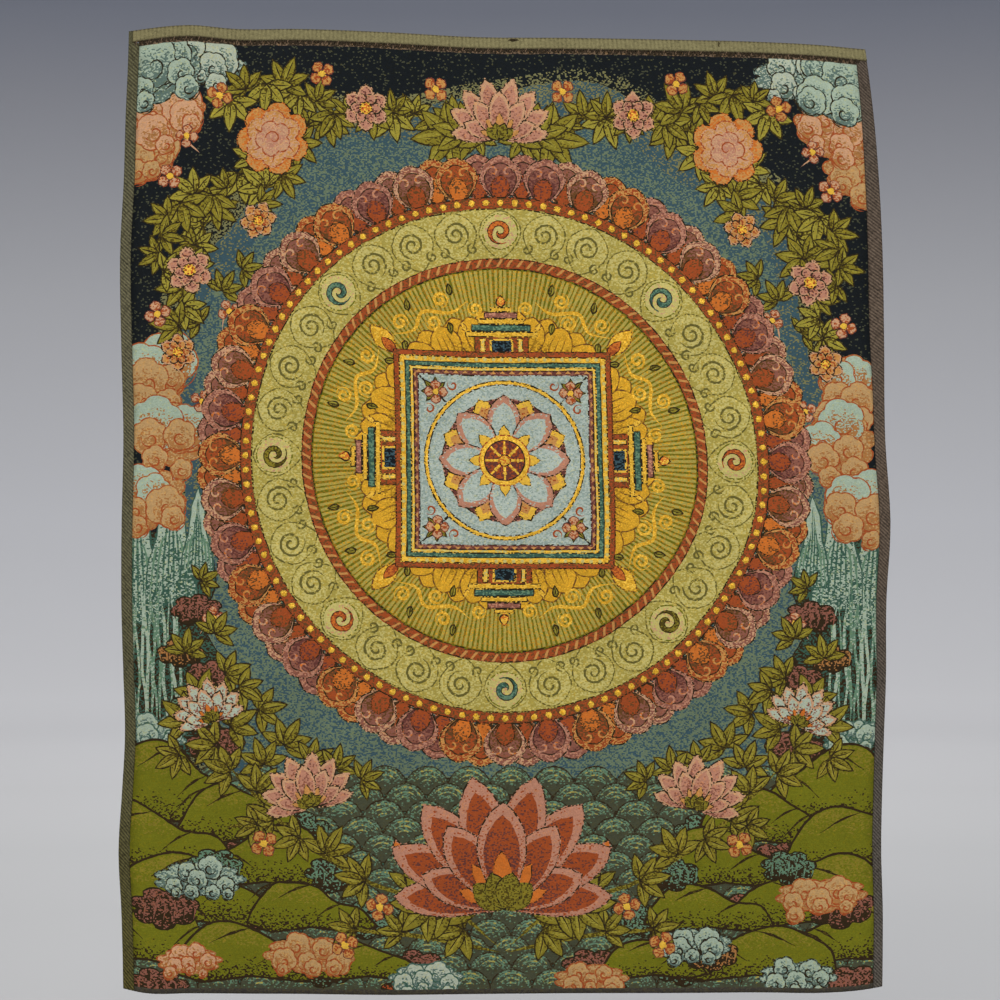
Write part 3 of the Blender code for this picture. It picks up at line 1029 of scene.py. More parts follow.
# Spacing of the loose grid between the outlines, in front and at the back, and how unevenly the yarns lie.
FRONT_GRID = 6.0
BACK_GRID = 11.0
JITTER = 0.14

# Points nearer to each other than this are one.
SAME_POINT = 0.001


def covered(outline, places):
    """Which places lie inside an outline."""
    x, y = places[:, 0, None], places[:, 1, None]
    ahead = np.roll(outline, -1, 0)
    rise = ahead[:, 1] - outline[:, 1]
    slope = (ahead[:, 0] - outline[:, 0]) / np.where(rise == 0, 1.0, rise)
    beyond = x < outline[:, 0] + slope * (y - outline[:, 1])
    climbs = (outline[:, 1] <= y) & (ahead[:, 1] > y) & beyond
    falls = (outline[:, 1] > y) & (ahead[:, 1] <= y) & beyond
    return climbs.sum(1) != falls.sum(1)


def cut_along(points, edges, outline):
    """The triangles inside an outline that keep to all the given edges."""
    points = [Vector(point) for point in points]
    found, _, triangles, *_ = geometry.delaunay_2d_cdt(points, edges, [], 0, SAME_POINT, True)
    found, triangles = np.array(found), np.array(triangles)
    triangles = triangles[covered(outline, found[triangles].mean(1))]
    used, renumbered = np.unique(triangles, return_inverse=True)
    return found[used], renumbered.reshape(-1, 3)


def topmost_shapes(points, triangles, shapes, numbers):
    """For each triangle, the last of the numbered shapes that covers it."""
    middles = points[triangles].mean(1)
    order = np.argsort(middles[:, 0])
    sorted_x = middles[order, 0]
    topmost = np.zeros(len(triangles), int)
    for number in numbers:
        outline = shapes[number][0]
        (left, bottom), (right, top) = outline.min(0), outline.max(0)
        near = order[np.searchsorted(sorted_x, left):np.searchsorted(sorted_x, right)]
        near = near[(middles[near, 1] > bottom) & (middles[near, 1] < top)]
        topmost[near[covered(outline, middles[near])]] = number
    return topmost


def divided(outline, longest):
    """The outline with its long sides cut up, so that they can follow the cloth's swells."""
    ahead = np.roll(outline, -1, 0)
    counts = np.maximum(np.ceil(np.linalg.norm(ahead - outline, axis=1) / longest).astype(int), 1)
    if counts.max() == 1:
        return outline
    return np.concatenate([here + (there - here) * np.arange(count)[:, None] / count
                           for here, there, count in zip(outline, ahead, counts)])


# A point is needless where the line runs by it no further off than this.
NEEDLESS = 0.09


def without_needless(points, edges, longest, outline):
    """The same lines without points that they run straight through, every other one at most.

    The outline's own points stay, because the cloth's two sides meet there.
    """
    lasting = {tuple(point) for point in np.round(outline, 3).tolist()}
    beside = [[] for _ in points]
    for here, there in edges:
        beside[here].append(there)
        beside[there].append(here)
    fixed = {k for k, point in enumerate(np.round(points, 3).tolist()) if tuple(point) in lasting}
    dropped, joined = set(), []
    for here, pair in enumerate(beside):
        if len(pair) != 2 or here in fixed or pair[1] in beside[pair[0]]:
            continue
        first, last = points[pair[0]], points[pair[1]]
        span = math.dist(first, last)
        way, off = last - first, points[here] - first
        if span < longest and abs(way[0] * off[1] - way[1] * off[0]) < NEEDLESS * span:
            fixed.update(pair)
            dropped.add(here)
            joined.append(tuple(pair))
    kept = [k for k in range(len(points)) if k not in dropped]
    number = {old: new for new, old in enumerate(kept)}
    left = [edge for edge in edges if edge[0] not in dropped and edge[1] not in dropped]
    return points[kept], [(number[here], number[there]) for here, there in left + joined]


# A line longer than this takes a small sidestep at its middle, as woven outlines do.
STEP_LENGTH = 3.2
STEP_ASIDE = 0.17


def stepped(points, edges):
    """The same lines, each long one with a sidestep at its middle."""
    rng = np.random.default_rng(23)
    points, edges = np.asarray(points), np.asarray(edges)
    way = points[edges[:, 1]] - points[edges[:, 0]]
    length = np.linalg.norm(way, axis=1)
    inside = np.abs(points[edges]).max(1) < (HALF_WIDTH - 1, HALF_HEIGHT - 1)
    split = (length > STEP_LENGTH) & inside.all(1)
    aside = np.column_stack([-way[:, 1], way[:, 0]]) / length[:, None] * STEP_ASIDE
    aside *= rng.choice((-1, 1), (len(edges), 1))
    middles = (points[edges].mean(1) + aside)[split]
    number = np.arange(len(middles)) + len(points)
    halves = [np.column_stack([edges[split, 0], number]), np.column_stack([number, edges[split, 1]])]
    return np.concatenate([points, middles]), np.concatenate([edges[~split], *halves]).tolist()


def cut_into_triangles(outline, shapes, spacing):
    """Cuts a region into triangles along the outlines that show, with a loose grid between them.

    Gives the points, the triangles and, for each triangle, the topmost shape that covers it.
    """
    points, edges = [], []
    for ring in [outline] + [divided(shape_points, 2 * spacing) for shape_points, _, _ in shapes]:
        numbers = np.arange(len(ring)) + len(points)
        edges += zip(numbers.tolist(), np.roll(numbers, -1).tolist())
        points.extend(ring)
    points, triangles = cut_along(points, edges, outline)
    topmost = topmost_shapes(points, triangles, shapes, range(len(shapes)))

    sides = np.concatenate([triangles[:, [0, 1]], triangles[:, [1, 2]], triangles[:, [2, 0]]])
    owner = np.tile(topmost, 3)
    order = np.lexsort((sides.max(1), sides.min(1)))
    sides, owner = np.sort(sides, 1)[order], owner[order]
    paired = np.append((sides[1:] == sides[:-1]).all(1), False)
    second = np.append(False, paired[:-1])
    shows = ~second & ~(paired & (owner == np.append(owner[1:], -1)))
    used, renumbered = np.unique(sides[shows], return_inverse=True)
    points, edges = points[used], renumbered.reshape(-1, 2).tolist()
    for _ in range(4):
        points, edges = without_needless(points, edges, 2 * spacing, outline)
    points, edges = stepped(points, edges)
    low, high = np.min(outline, 0), np.max(outline, 0)
    columns, rows = (int(count) for count in (high - low) / spacing)
    grid = [low + (high - low) * ((column + 0.5 * (row % 2)) / (columns + 0.5), row / rows)
            for row in range(1, rows) for column in range(1, columns)]
    points, triangles = cut_along(list(points) + grid, edges, outline)
    return points, triangles, topmost_shapes(points, triangles, shapes, np.unique(topmost))


def areas_of(points, triangles):
    """The triangles' areas, which are negative where one has turned over."""
    corners = points[triangles]
    first, second = corners[:, 1] - corners[:, 0], corners[:, 2] - corners[:, 0]
    return (first[:, 0] * second[:, 1] - first[:, 1] * second[:, 0]) / 2


# Triangles no larger than this, in square millimetres, are slivers between two outlines.
SLIVER_AREA = 0.1


def heights_of(points, triangles, topmost, shapes):
    """Each point takes the height of the topmost shape that meets there, slivers aside."""
    area = areas_of(points, triangles)
    highest = np.full(len(points), -1)
    for whole in (area > SLIVER_AREA, area <= SLIVER_AREA):
        unknown = highest < 0
        for corner in range(3):
            chosen = whole & unknown[triangles[:, corner]]
            np.maximum.at(highest, triangles[chosen, corner], topmost[chosen])
    return np.array([height for _, _, height in shapes])[highest]


def yarns_of(places, topmost, shapes):
    """The two threads at each place, with the second's share and the metal glint in their alphas."""
    paints = [paint for _, paint, _ in shapes]

    def column(key):
        return np.array([paint[key] for paint in paints], float)[topmost]

    first = linear([YARNS[paint["a"]] for paint in paints])[topmost]
    second = linear([YARNS[paint["b"]] for paint in paints])[topmost]
    start, end, reach, low = column("start"), column("end"), column("reach"), column("low")
    way = end - start
    along = np.sum((places - start) * way, 1) / np.maximum(np.sum(way * way, 1), 1e-6)
    depth = np.linalg.norm(places - start, axis=1) - reach[:, 0]
    around = depth / np.maximum(np.abs(reach[:, 1] - reach[:, 0]), 1e-6) * np.sign(reach[:, 1] - reach[:, 0])
    t = np.clip(np.where(column("radial") > 0, around, along), 0.0, 1.0)
    share = low + (column("high") - low) * t
    return np.column_stack([first, share]), np.column_stack([second, column("glint")])


def rim_of(triangles):
    """The points round the rim, in order, anticlockwise."""
    edges = np.concatenate([triangles[:, [0, 1]], triangles[:, [1, 2]], triangles[:, [2, 0]]])
    known = {(int(a), int(b)) for a, b in edges}
    follows = {a: b for a, b in known if (b, a) not in known}
    rim = [next(iter(follows))]
    while follows[rim[-1]] != rim[0]:
        rim.append(follows[rim[-1]])
    return rim


def on_panel(points, out):
    """Lays points of the picture on the hanging cloth. The hem along the foot is thicker."""
    across = (points[:, 0] + HALF_WIDTH) / (2 * HALF_WIDTH)
    down = (HALF_HEIGHT - points[:, 1]) / (2 * HALF_HEIGHT)
    hem = (HEM_THICKNESS - PANEL_THICKNESS) / 2 * ease((HEM_DEPTH - HALF_HEIGHT - points[:, 1]) / 0.8)
    return place(PANEL_LINES, across, down, out + np.sign(out) * hem)


# Where the front and the back lie across the panel's UV map: start and width.
FRONT_ISLAND = (0.005, 0.77)
BACK_ISLAND = (0.785, 0.21)


def make_panel(front_material, back_material):
    """The brocade panel: the picture in front, its loose floats behind, and a turned hem along the foot."""
    rng = np.random.default_rng(7)
    shapes = picture().shapes
    sheet = divided(box(-HALF_WIDTH, -HALF_HEIGHT, HALF_WIDTH, HALF_HEIGHT), FRONT_GRID)
    points, triangles, topmost = cut_into_triangles(sheet, shapes, FRONT_GRID)
    out = PANEL_THICKNESS / 2 + heights_of(points, triangles, topmost, shapes)
    rim = rim_of(triangles)
    out[rim] = PANEL_THICKNESS / 4
    jitter = rng.uniform(-JITTER, JITTER, points.shape)
    jitter[rim] = 0.0
    for _ in range(3):
        pinched = areas_of(points + jitter, triangles) < 0.5 * areas_of(points, triangles)
        jitter[triangles[pinched].ravel()] = 0.0
    front = on_panel(points + jitter, out)

    floats = underside().shapes
    back_points, back_triangles, back_topmost = cut_into_triangles(points[rim], floats, BACK_GRID)
    back_out = PANEL_THICKNESS / 2 + heights_of(back_points, back_triangles, back_topmost, floats)
    back_rim = rim_of(back_triangles)
    back_out[back_rim] = PANEL_THICKNESS / 4
    back = on_panel(back_points, -back_out)

    count = len(front)
    known = {tuple(np.round(back_points[k], 3)): k + count for k in back_rim}
    behind = [known[tuple(np.round(points[k], 3))] for k in rim]
    after, after_behind = rim[1:] + rim[:1], behind[1:] + behind[:1]
    rim_quads = np.column_stack([after, rim, behind, after_behind])
    faces = triangles.tolist() + (back_triangles[:, ::-1] + count).tolist() + rim_quads.tolist()
    index = np.ones(len(faces))
    index[:len(triangles)] = 0
    panel = new_mesh("picture_cloth", np.concatenate([front, back]), faces, [front_material, back_material],
                     index)

    every_point = np.concatenate([points, back_points])
    front_spots = points[triangles.ravel()]
    back_spots = back_points[back_triangles[:, ::-1].ravel()]
    rim_spots = every_point[rim_quads.ravel()]
    front_yarns = yarns_of(front_spots, np.repeat(topmost, 3), shapes)
    back_yarns = yarns_of(back_spots, np.repeat(back_topmost, 3), floats)
    rim_yarn = np.tile(np.append(linear(YARNS["moss"]), 0.0), (len(rim_spots), 1))
    spots = np.concatenate([front_spots, back_spots, rim_spots])
    share = (spots + (HALF_WIDTH, HALF_HEIGHT)) / (2 * HALF_WIDTH, 2 * HALF_HEIGHT)
    in_front = (np.arange(len(spots)) < len(front_spots))[:, None]
    start, width = np.where(in_front, FRONT_ISLAND, BACK_ISLAND).T
    u = start + width * share[:, 0]
    dress(panel, np.concatenate([front_yarns[0], back_yarns[0], rim_yarn]),
          np.concatenate([front_yarns[1], back_yarns[1], rim_yarn]), spots,
          np.column_stack([u, 0.005 + 0.99 * share[:, 1]]))
    return panel


def make_band(name, lines, upright, length, width, profile, step, weave, material):
    """A long narrow sheet that is closed round its section.

    profile gives the section as shares across the band and distances out, step the spacing of its rows. weave
    gives the rise of the ribs and the two threads, from the millimetres along and across the band.
    """
    side, out = np.array(profile).T
    count, around = int(length / step), len(profile)
    along = np.repeat(np.linspace(0, 1, count)[:, None], around, 1)
    side = np.repeat(side[None, :], count, 0)
    rise, first, second = weave(along * length, side * width)
    end = np.clip(0.55 + np.minimum(along, 1 - along) * length / 1.6, 0, 1)
    out = (out[None, :] + np.sign(out[None, :]) * rise) * end
    across, down = (side, along) if upright else (along, side)
    vertices = place(lines, across, down, out).reshape(-1, 3)

    grid = np.arange(count * around).reshape(count, around)
    beside = np.roll(grid, -1, 1)
    quads = np.stack([grid[:-1], beside[:-1], beside[1:], grid[1:]], -1).reshape(-1, 4)
    caps = [grid[0][::-1], grid[-1]]
    if not upright:
        quads = quads[:, ::-1]
        caps = [cap[::-1] for cap in caps]
    thing = new_mesh(name, vertices, quads.tolist() + [cap.tolist() for cap in caps], [material])

    corners = np.concatenate([quads.ravel(), *caps])
    turn = (np.arange(len(vertices)) % around) / around
    u = turn[corners]
    edge = np.arange(quads.size).reshape(-1, 4)
    closing = (quads % around).max(1) - (quads % around).min(1) > 1
    late = np.zeros(len(corners), bool)
    late[edge[closing].ravel()] = (quads[closing] % around == 0).ravel()
    u = np.where(late, 1.0, u)
    v = along.ravel()[corners]
    spots = np.column_stack([(along * length).ravel(), (side * width).ravel()])[corners]
    dress(thing, first.reshape(-1, 4)[corners], second.reshape(-1, 4)[corners], spots,
          0.005 + 0.99 * np.column_stack([u, v]))
    return thing


def flat_profile(half, steps):
    """A section of even thickness with rounded sides, as shares across and distances out."""
    shares = np.concatenate([[0.0], np.linspace(0.03, 0.97, steps), [1.0]])
    thickness = half * (1 - np.abs(2 * shares - 1) ** 9) ** 0.3
    front = list(zip(shares, thickness))
    back = [(share, -thick) for share, thick in front[-2:0:-1]]
    return front + back


def blend(low, high, t):
    """Between two dyes, given by name."""
    t = np.clip(t, 0, 1)[..., None]
    return linear(YARNS[low]) * (1 - t) + linear(YARNS[high]) * t


# The heading's ribs and the side bands' diagonal ribs: how far apart and how high they are.
RIB_PITCH = 2.6
RIB_RISE = 0.3
LEFT_TWILL_PITCH = 2.37
RIGHT_TWILL_PITCH = 2.3
TWILL_RISE = 0.34


def heading_weave(along, side):
    """Even ribs down the heading, with painted shade in the grooves between them, along its rolled top and at
    its foot.
    """
    wander = 0.25 * np.sin(along / 31.0) + 0.12 * np.sin(along / 7.3)
    phase = (along + wander) / RIB_PITCH
    crest = np.abs(np.sin(math.pi * phase)) ** 0.8
    rise = RIB_RISE * (crest - 0.7)
    # Painted shade: the grooves between the ribs are coloured darker than their crests.
    tone = 0.45 + 0.55 * crest
    body = blend("fawn", "ecru", tone)
    # Painted shade along the rolled top, in dots between the ribs, and a painted shadow line at the foot.
    dots = 0.45 + 0.55 * np.cos(math.pi * phase) ** 2
    rolled_top_shade = ease((1.25 - side) / 0.7) * dots
    foot = ease((side - HEADING_DEPTH + 0.9) / 0.6)
    dark = np.maximum(rolled_top_shade * 0.85, foot * 0.7)[..., None]
    first = body * (1 - dark) + linear(YARNS["umber"]) * dark
    # The second thread is a darker copy of the first and shows more in the grooves, as painted shade.
    second = first * 0.8
    share = 0.1 + 0.2 * (1 - crest)
    return rise, np.dstack([first, share]), np.dstack([second, np.zeros(share.shape)])


def twill_weave(pitch, tones):
    """The function that lays diagonal ribs of two yarns, whose colours change down the band. The darker
    groove yarn of each pair is painted shade.
    """
    def weave(along, side):
        wander = 0.3 * np.sin(along / 23.0) + 0.15 * np.sin(along / 5.1)
        phase = (along - side + wander) / pitch
        wave = 0.5 + 0.5 * np.cos(2 * math.pi * phase)
        rise = TWILL_RISE * (wave - 0.6)
        share_down = along / CLOTH_HEIGHT * (len(tones) - 1)
        step = np.clip(share_down.astype(int), 0, len(tones) - 2)
        part = (share_down - step)[..., None]
        # Each pair is a crest colour and a darker copy of it for the groove, which paints the groove's shade.
        crests = linear([YARNS[crest] for crest, _ in tones])
        grooves = linear([YARNS[groove] for _, groove in tones])
        crest = crests[step] * (1 - part) + crests[step + 1] * part
        groove = grooves[step] * (1 - part) + grooves[step + 1] * part
        first = groove + (crest - groove) * (wave ** 1.3)[..., None]
        # The second thread is a darker copy of the first and shows more in the grooves, as painted shade.
        second = first * 0.65
        share = 0.14 + 0.16 * (1 - wave)
        return rise, np.dstack([first, share]), np.dstack([second, np.zeros(share.shape)])
    return weave


THREAD_SIDES = 5


def make_threads(name, paths, radius, yarn, material):
    """Many short round threads in one mesh."""
    sides = THREAD_SIDES
    vertices, faces, colours = [], [], []
    for path, thread in zip(paths, yarn):
        path = np.asarray(path, float)
        way = np.gradient(path, axis=0)
        way /= np.maximum(np.linalg.norm(way, axis=1, keepdims=True), 1e-9)
        flat = np.cross(way, (0.0, 1.0, 0.03))
        flat /= np.maximum(np.linalg.norm(flat, axis=1, keepdims=True), 1e-9)
        up = np.cross(flat, way)
        base = len(vertices)
        t = np.linspace(0, 1, len(path))
        thick = radius * np.clip(np.minimum(t, 1 - t) * 8 + 0.35, 0, 1)
        for k, centre in enumerate(path):
            for side in range(sides):
                angle = 2 * math.pi * side / sides
                vertices.append(centre + thick[k] * (math.cos(angle) * flat[k] + math.sin(angle) * up[k]))
        for k in range(len(path) - 1):
            for side in range(sides):
                a, b = base + k * sides + side, base + k * sides + (side + 1) % sides
                faces.append((a, b, b + sides, a + sides))
        faces.append(tuple(base + side for side in reversed(range(sides))))
        faces.append(tuple(base + (len(path) - 1) * sides + side for side in range(sides)))
        colours += [np.append(linear(YARNS[thread]), 0.12)] * (len(vertices) - base)
    thing = new_mesh(name, np.array(vertices), faces, [material])
    corners = [k for face in faces for k in face]
    first = np.array(colours)[corners]
    second = np.tile(np.append(linear(YARNS["earth"]), 0.0), (len(corners), 1))
    spots = np.array(vertices)[corners][:, [0, 2]]
    low, high = spots.min(0), spots.max(0)
    dress(thing, first, second, spots, 0.005 + 0.99 * (spots - low) / (high - low))
    return thing


def on_heading(x, drop, out):
    """A place near the heading's foot, drop millimetres below it, and out from the cloth's middle."""
    z = under_heading(x) - drop
    return (x, -float(forward(x, z)) - out, float(z))


# Dark thread ends that lie on the heading at two places.
# Each point is across, below the heading's foot, and out from the cloth's middle.
LOOSE_ENDS = (
    ((2.6, -5.2, 1.5), (4.4, -6.0, 1.9), (6.6, -5.9, 1.9), (9.2, -5.5, 1.5)),
    ((3.4, -5.8, 1.5), (5.2, -5.0, 2.0), (7.4, -5.6, 1.8), (8.4, -6.2, 1.4)),
    ((133.4, -6.6, 1.4), (133.9, -5.4, 1.9), (133.5, -4.2, 1.7), (134.2, -3.2, 1.4)),
)


def make_heading_stitches(material):
    """The overcast stitches that hold the heading to the picture, and the loose ends over the top."""
    rng = np.random.default_rng(11)
    paths, yarn = [], []
    foot = np.array(-HEADING_DEPTH)
    start, end = float(heading_left(foot)) + 1.2, float(right_edge(foot)) - 1.2
    count = int((end - start) / RIB_PITCH)
    for k in range(count):
        x = start + (k + 0.5) * RIB_PITCH + rng.uniform(-0.25, 0.25)
        lean = RIB_PITCH * 0.42
        reach = 2.3 + rng.uniform(-0.5, 0.5)
        up_leg = [on_heading(x - lean, -0.7, 1.2), on_heading(x - lean * 0.5, 0.5, 1.35),
                  on_heading(x, reach, 0.95)]
        down_leg = [on_heading(x, reach, 1.0), on_heading(x + lean * 0.5, 0.6, 1.4),
                    on_heading(x + lean, -0.6, 1.2)]
        paths += [through(up_leg, 5), through(down_leg, 5)]
        yarn += ["umber", "umber"] if k % 3 else ["umber", "dusk"]
    for loose_end in LOOSE_ENDS:
        paths.append(through([on_heading(x, drop, out) for x, drop, out in loose_end], 7))
        yarn.append("earth")
    return make_threads("heading_stitches", paths, 0.33, yarn, material)


class Shader:
    """A material's node tree, with a short call for each kind of node."""

    def __init__(self, name):
        self.material = bpy.data.materials.new(name)
        self.material.use_nodes = True
        self.tree = self.material.node_tree
        self.tree.nodes.clear()

    def node(self, kind, inputs, output=0, **settings):
        made = self.tree.nodes.new("ShaderNode" + kind)
        for key, value in settings.items():
            setattr(made, key, value)
        for key, value in inputs.items():
            if isinstance(value, bpy.types.NodeSocket):
                self.tree.links.new(value, made.inputs[key])
            else:
                made.inputs[key].default_value = value
        return made.outputs[output]

    def math(self, operation, first, second=0.0, third=0.0):
        return self.node("Math", {0: first, 1: second, 2: third}, operation=operation)

    def scaled(self, vector, scale):
        return self.node("VectorMath", {0: vector, 1: scale}, operation="MULTIPLY")

    def mix(self, share, first, second):
        return self.node("Mix", {0: share, 6: first, 7: second}, 2, data_type="RGBA")

    def cells(self, vector, width, height, output="Color"):
        """Uneven cells of that size, each with its own random colour."""
        place = self.scaled(vector, (1.0 / width, 1.0 / height, 1.0))
        return self.node("TexVoronoi", {"Vector": place, "Scale": 1.0, "Randomness": 0.8}, output,
                         voronoi_dimensions="2D", feature="F1")

    def part(self, colour, channel):
        return self.node("SeparateColor", {0: colour}, channel)

    def finish(self, colour, roughness, normal, metallic=0.0, sheen=0.0):
        shader = self.node("BsdfPrincipled", {
            "Base Color": colour, "Roughness": roughness, "Normal": normal, "Metallic": metallic,
            "Sheen Weight": sheen, "Sheen Roughness": 0.5, "Specular IOR Level": 0.07})
        output = self.tree.nodes.new("ShaderNodeOutputMaterial")
        self.tree.links.new(shader, output.inputs["Surface"])
        return self.material


# How far the weft picks of a cloth lie apart.
WEFT_PITCH = 1.3

# How a stray, warmer thread tints the floats that it runs through.
STRAY_TINT = (1.14, 1.04, 0.82)


def woven(name, float_size, yarn_size, contrast, relief, stray_share=0.0):
    """Cloth of two threads: the mesh gives both and the second's share, and each float shows one of them.

    float_size and yarn_size are the width and height of a float and of one yarn's crossing. stray_share is
    the share of floats that a warmer thread runs through.
    """
    shader = Shader(name)
    spot = shader.node("Attribute", {}, "Vector", attribute_name="cloth_place")
    first = shader.node("Attribute", {}, "Color", attribute_name="first_thread")
    second = shader.node("Attribute", {}, "Color", attribute_name="second_thread")
    share = shader.node("Attribute", {}, "Alpha", attribute_name="first_thread")
    glint = shader.node("Attribute", {}, "Alpha", attribute_name="second_thread")

    floats = shader.cells(spot, *float_size)
    chooses = shader.math("LESS_THAN", shader.part(floats, 0), share)
    colour = shader.mix(chooses, first, second)
    if stray_share:
        stray = shader.math("GREATER_THAN", shader.part(floats, 1), 1.0 - stray_share)
        colour = shader.mix(stray, colour, shader.scaled(colour, STRAY_TINT))

    yarns = shader.cells(spot, *yarn_size)
    tone = shader.math("MULTIPLY_ADD", shader.part(yarns, 1), contrast, 1.0 - contrast * 0.5)
    float_tone = shader.math("MULTIPLY_ADD", shader.part(floats, 2), contrast * 0.7, 1.0 - contrast * 0.35)
    stain = shader.node("TexNoise", {"Vector": spot, "Scale": 0.022, "Detail": 2.0}, 0, noise_dimensions="2D")
    fade = shader.math("MULTIPLY_ADD", stain, 0.22, 0.89)
    value = shader.math("MULTIPLY", shader.math("MULTIPLY", tone, float_tone), fade)

    sparkle = shader.math("MULTIPLY", glint, shader.math("GREATER_THAN", shader.part(yarns, 0), 0.62))
    value = shader.math("MULTIPLY", value, shader.math("MULTIPLY_ADD", sparkle, 0.35, 1.0))
    colour = shader.node("VectorMath", {0: colour, "Scale": value}, operation="SCALE")

    domes = shader.cells(spot, *yarn_size, output="Distance")
    bulk = shader.cells(spot, *float_size, output="Distance")
    turns = shader.math("MULTIPLY", shader.node("SeparateXYZ", {0: spot}, 1), 2 * math.pi / WEFT_PITCH)
    height = shader.math("MULTIPLY_ADD", domes, -0.7, shader.math("MULTIPLY", bulk, -0.6))
    height = shader.math("MULTIPLY_ADD", shader.math("SINE", turns), 0.22, height)
    normal = shader.node("Bump", {"Strength": 0.7, "Distance": relief * MM, "Height": height})
    rough = shader.math("MULTIPLY_ADD", sparkle, -0.3, 0.8)
    metal = shader.math("MULTIPLY", sparkle, 0.45)
    return shader.finish(colour, rough, normal, metal, 0.015)


# The middle of the round floor, in metres.
SWEEP_CENTRE = (0.0, -0.28, -0.72)

# The backdrop paper's tones, which paint the studio light's fall-off as light and shade: metres out along the
# floor and up the wall, and the grey there.
PAPER_SHADE_TONES = (
    (0.85, (0.49, 0.49, 0.495)),
    (1.07, (0.468, 0.468, 0.474)),
    (1.36, (0.437, 0.437, 0.442)),
    (1.81, (0.425, 0.425, 0.43)),
    (2.45, (0.468, 0.466, 0.473)),
    (3.06, (0.563, 0.56, 0.57)),
    (3.6, (0.6, 0.597, 0.61)),
    (4.6, (0.51, 0.512, 0.535)),
    (5.45, (0.37, 0.372, 0.392)),
    (6.1, (0.218, 0.223, 0.249)),
    (6.37, (0.15, 0.16, 0.193)),
)


def paper(name):
    """Backdrop paper, its grey graded from pale on the floor to darker high on the wall: painted light and
    shade.
    """
    shader = Shader(name)
    spot = shader.node("VectorMath", {0: shader.node("NewGeometry", {}, "Position"), 1: SWEEP_CENTRE},
                       operation="SUBTRACT")
    height = shader.node("SeparateXYZ", {0: spot}, 2)
    flat = shader.node("VectorMath", {0: shader.scaled(spot, (1.0, 1.0, 0.0))}, "Value", operation="LENGTH")
    reach = PAPER_SHADE_TONES[-1][0]
    share = shader.math("DIVIDE", shader.math("ADD", flat, height), reach)
    ramp = shader.node("ValToRGB", {0: share}).node.color_ramp
    for _ in PAPER_SHADE_TONES[2:]:
        ramp.elements.new(0.5)
    for element, (way, tone) in zip(ramp.elements, PAPER_SHADE_TONES):
        element.position = way / reach
        element.color = (*tone, 1.0)
    colour = shader.tree.nodes["Color Ramp"].outputs["Color"]
    grain = shader.node("TexNoise", {"Scale": 320.0, "Detail": 2.0})
    normal = shader.node("Bump", {"Strength": 0.05, "Distance": 0.0005, "Height": grain})
    return shader.finish(colour, 0.85, normal)


# The sweep's section beyond the flat floor: metres out and up.
SWEEP = ((2.0, 0.0), (3.1, 0.0), (3.5, 0.03), (3.85, 0.14), (4.15, 0.34), (4.4, 0.62), (4.58, 1.0),
         (4.7, 1.5), (4.75, 2.2), (4.78, 3.4))


def make_stage():
    """A pale floor that sweeps up into a round wall, so that every view has the same plain ground."""
    sides = 96
    vertices, faces = [SWEEP_CENTRE], []
    middle_x, middle_y, floor = SWEEP_CENTRE
    rings = through(SWEEP, 40)
    for reach, rise in rings:
        for side in range(sides):
            angle = 2 * math.pi * side / sides
            across, back = reach * math.cos(angle), reach * math.sin(angle)
            vertices.append((middle_x + across, middle_y + back, floor + rise))
    faces += [(0, 1 + side, 1 + (side + 1) % sides) for side in range(sides)]
    for ring in range(len(rings) - 1):
        for side in range(sides):
            a, b = 1 + ring * sides + side, 1 + ring * sides + (side + 1) % sides
            faces.append((a, a + sides, b + sides, b))
    sweep = new_mesh("floor_sweep", np.array(vertices) / MM, faces, [paper("backdrop_paper")])


def aim(thing, target):
    way = Vector(target) - thing.location
    thing.rotation_euler = way.to_track_quat("-Z", "Y").to_euler()


def add_light(name, place_at, target, width, height, power, colour=(1.0, 1.0, 1.0)):
    lamp = bpy.data.lights.new(name, "AREA")
    lamp.shape = "RECTANGLE"
    lamp.size, lamp.size_y = width, height
    lamp.energy = power
    lamp.color = colour
    light = bpy.data.objects.new(name, lamp)
    light.location = place_at
    light.visible_camera = False
    bpy.context.scene.collection.objects.link(light)
    aim(light, target)


def light_the_scene():
    middle = (0.0, 0.0, -0.3)
    add_light("key", (-0.55, -2.1, 0.75), middle, 1.6, 1.5, 45.0, (1.0, 0.985, 0.95))
    add_light("fill", (1.3, -2.0, 0.1), middle, 1.5, 1.5, 24.0, (0.95, 0.97, 1.0))
    add_light("back_fill", (0.0, 2.0, 1.5), middle, 1.6, 1.6, 24.0)
    add_light("sweep_light", (0.0, 0.9, 2.2), (0.0, 4.4, 0.0), 3.0, 1.5, 95.0)
    world = bpy.data.worlds.new("studio")
    bpy.context.scene.world = world
    world.use_nodes = True
    world.node_tree.nodes["Background"].inputs["Color"].default_value = (0.5, 0.52, 0.55, 1.0)
    world.node_tree.nodes["Background"].inputs["Strength"].default_value = 0.4
    bpy.context.scene.view_settings.view_transform = "Standard"


def place_camera():
    lens = bpy.data.cameras.new("camera")
    lens.lens = 85.0
    lens.sensor_width = 36.0
    camera = bpy.data.objects.new("camera", lens)
    camera.location = (-0.0025, -1.471, -0.2884)
    camera.rotation_euler = (math.radians(90), 0.0, 0.0)
    bpy.context.scene.collection.objects.link(camera)
    bpy.context.scene.camera = camera


# The heading's section: the share down it and the distance out from the cloth's middle.
HEADING_SECTION = ((1.0, 0.9), (0.93, 1.25), (0.8, 1.3), (0.62, 1.3), (0.45, 1.3), (0.3, 1.28), (0.16, 1.2),
                   (0.06, 0.95), (0.0, 0.35), (0.0, -0.35), (0.06, -0.95), (0.16, -1.2), (0.4, -1.3),
                   (0.7, -1.3), (0.93, -1.25), (1.0, -0.9))


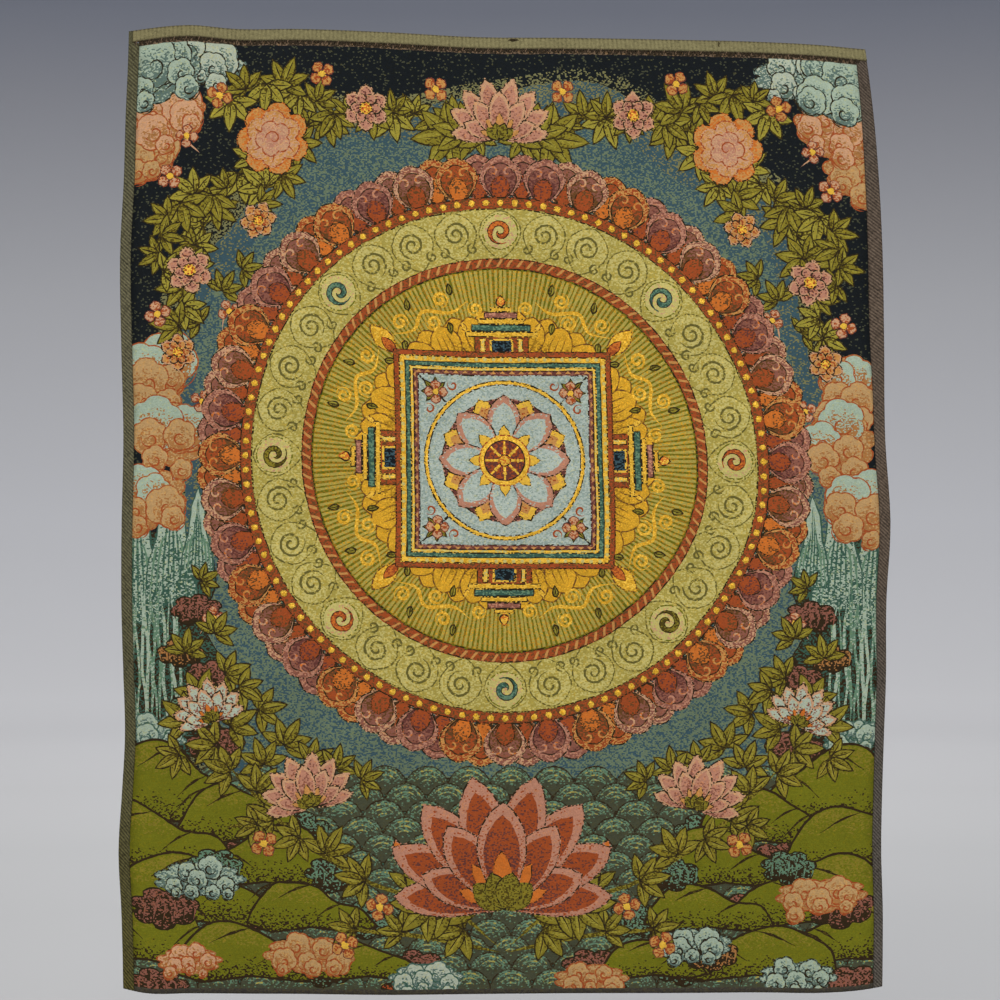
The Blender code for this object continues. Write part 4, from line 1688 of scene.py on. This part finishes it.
# The bands' lengths along the cloth, the right one's middle width, and the spacing of the side bands' rows.
HEADING_LENGTH = 457.0
LEFT_BAND_LENGTH = 598.0
RIGHT_BAND_LENGTH = 587.0
RIGHT_BAND_WIDTH = 7.0
TWILL_STEP = 0.46


def main():
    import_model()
    place_camera()

    brocade = woven("brocade", (1.0, 0.75), (0.55, 0.45), 0.22, 0.12, stray_share=0.12)
    underside_floats = woven("brocade_back", (5.2, 0.7), (1.4, 0.6), 0.45, 0.2)
    ribbed = woven("ribbed_heading", (1.1, 0.8), (0.55, 0.5), 0.28, 0.1)
    twill = woven("side_twill", (1.2, 0.9), (0.6, 0.55), 0.4, 0.14)
    thread = woven("sewing_thread", (0.6, 0.6), (0.3, 0.3), 0.3, 0.05)

    panel = make_panel(brocade, underside_floats)
    heading = make_band("heading_cloth", HEADING_LINES, False, HEADING_LENGTH, HEADING_DEPTH,
                        HEADING_SECTION, RIB_PITCH / 6, heading_weave, ribbed)
    # Crest and groove colours down the side bands; the darker groove colours are painted shade.
    left_tones = (("lichen", "bark"), ("sage", "dun"), ("lichen", "bark"), ("weed", "peat"))
    right_tones = (("taupe", "cocoa"), ("fig", "soot"), ("fig", "soot"), ("ash", "slate"), ("ash", "slate"))
    section = flat_profile(BORDER_THICKNESS / 2, 12)
    left_band = make_band("left_band_cloth", LEFT_BAND_LINES, True, LEFT_BAND_LENGTH, LEFT_BAND_WIDTH,
                          section, TWILL_STEP, twill_weave(LEFT_TWILL_PITCH, left_tones), twill)
    right_band = make_band("right_band_cloth", RIGHT_BAND_LINES, True, RIGHT_BAND_LENGTH, RIGHT_BAND_WIDTH,
                           section, TWILL_STEP, twill_weave(RIGHT_TWILL_PITCH, right_tones), twill)
    stitches = make_heading_stitches(thread)

    pieces = ((panel, "picture_panel", "brocade"), (heading, "top_heading", "ribbed_heading"),
              (left_band, "left_border", "left_twill"), (right_band, "right_border", "right_twill"),
              (stitches, None, "ribbed_heading"))
    for piece, node, slot in pieces:
        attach(piece, "root")
        if node:
            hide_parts(node)

    make_stage()
    light_the_scene()


main()
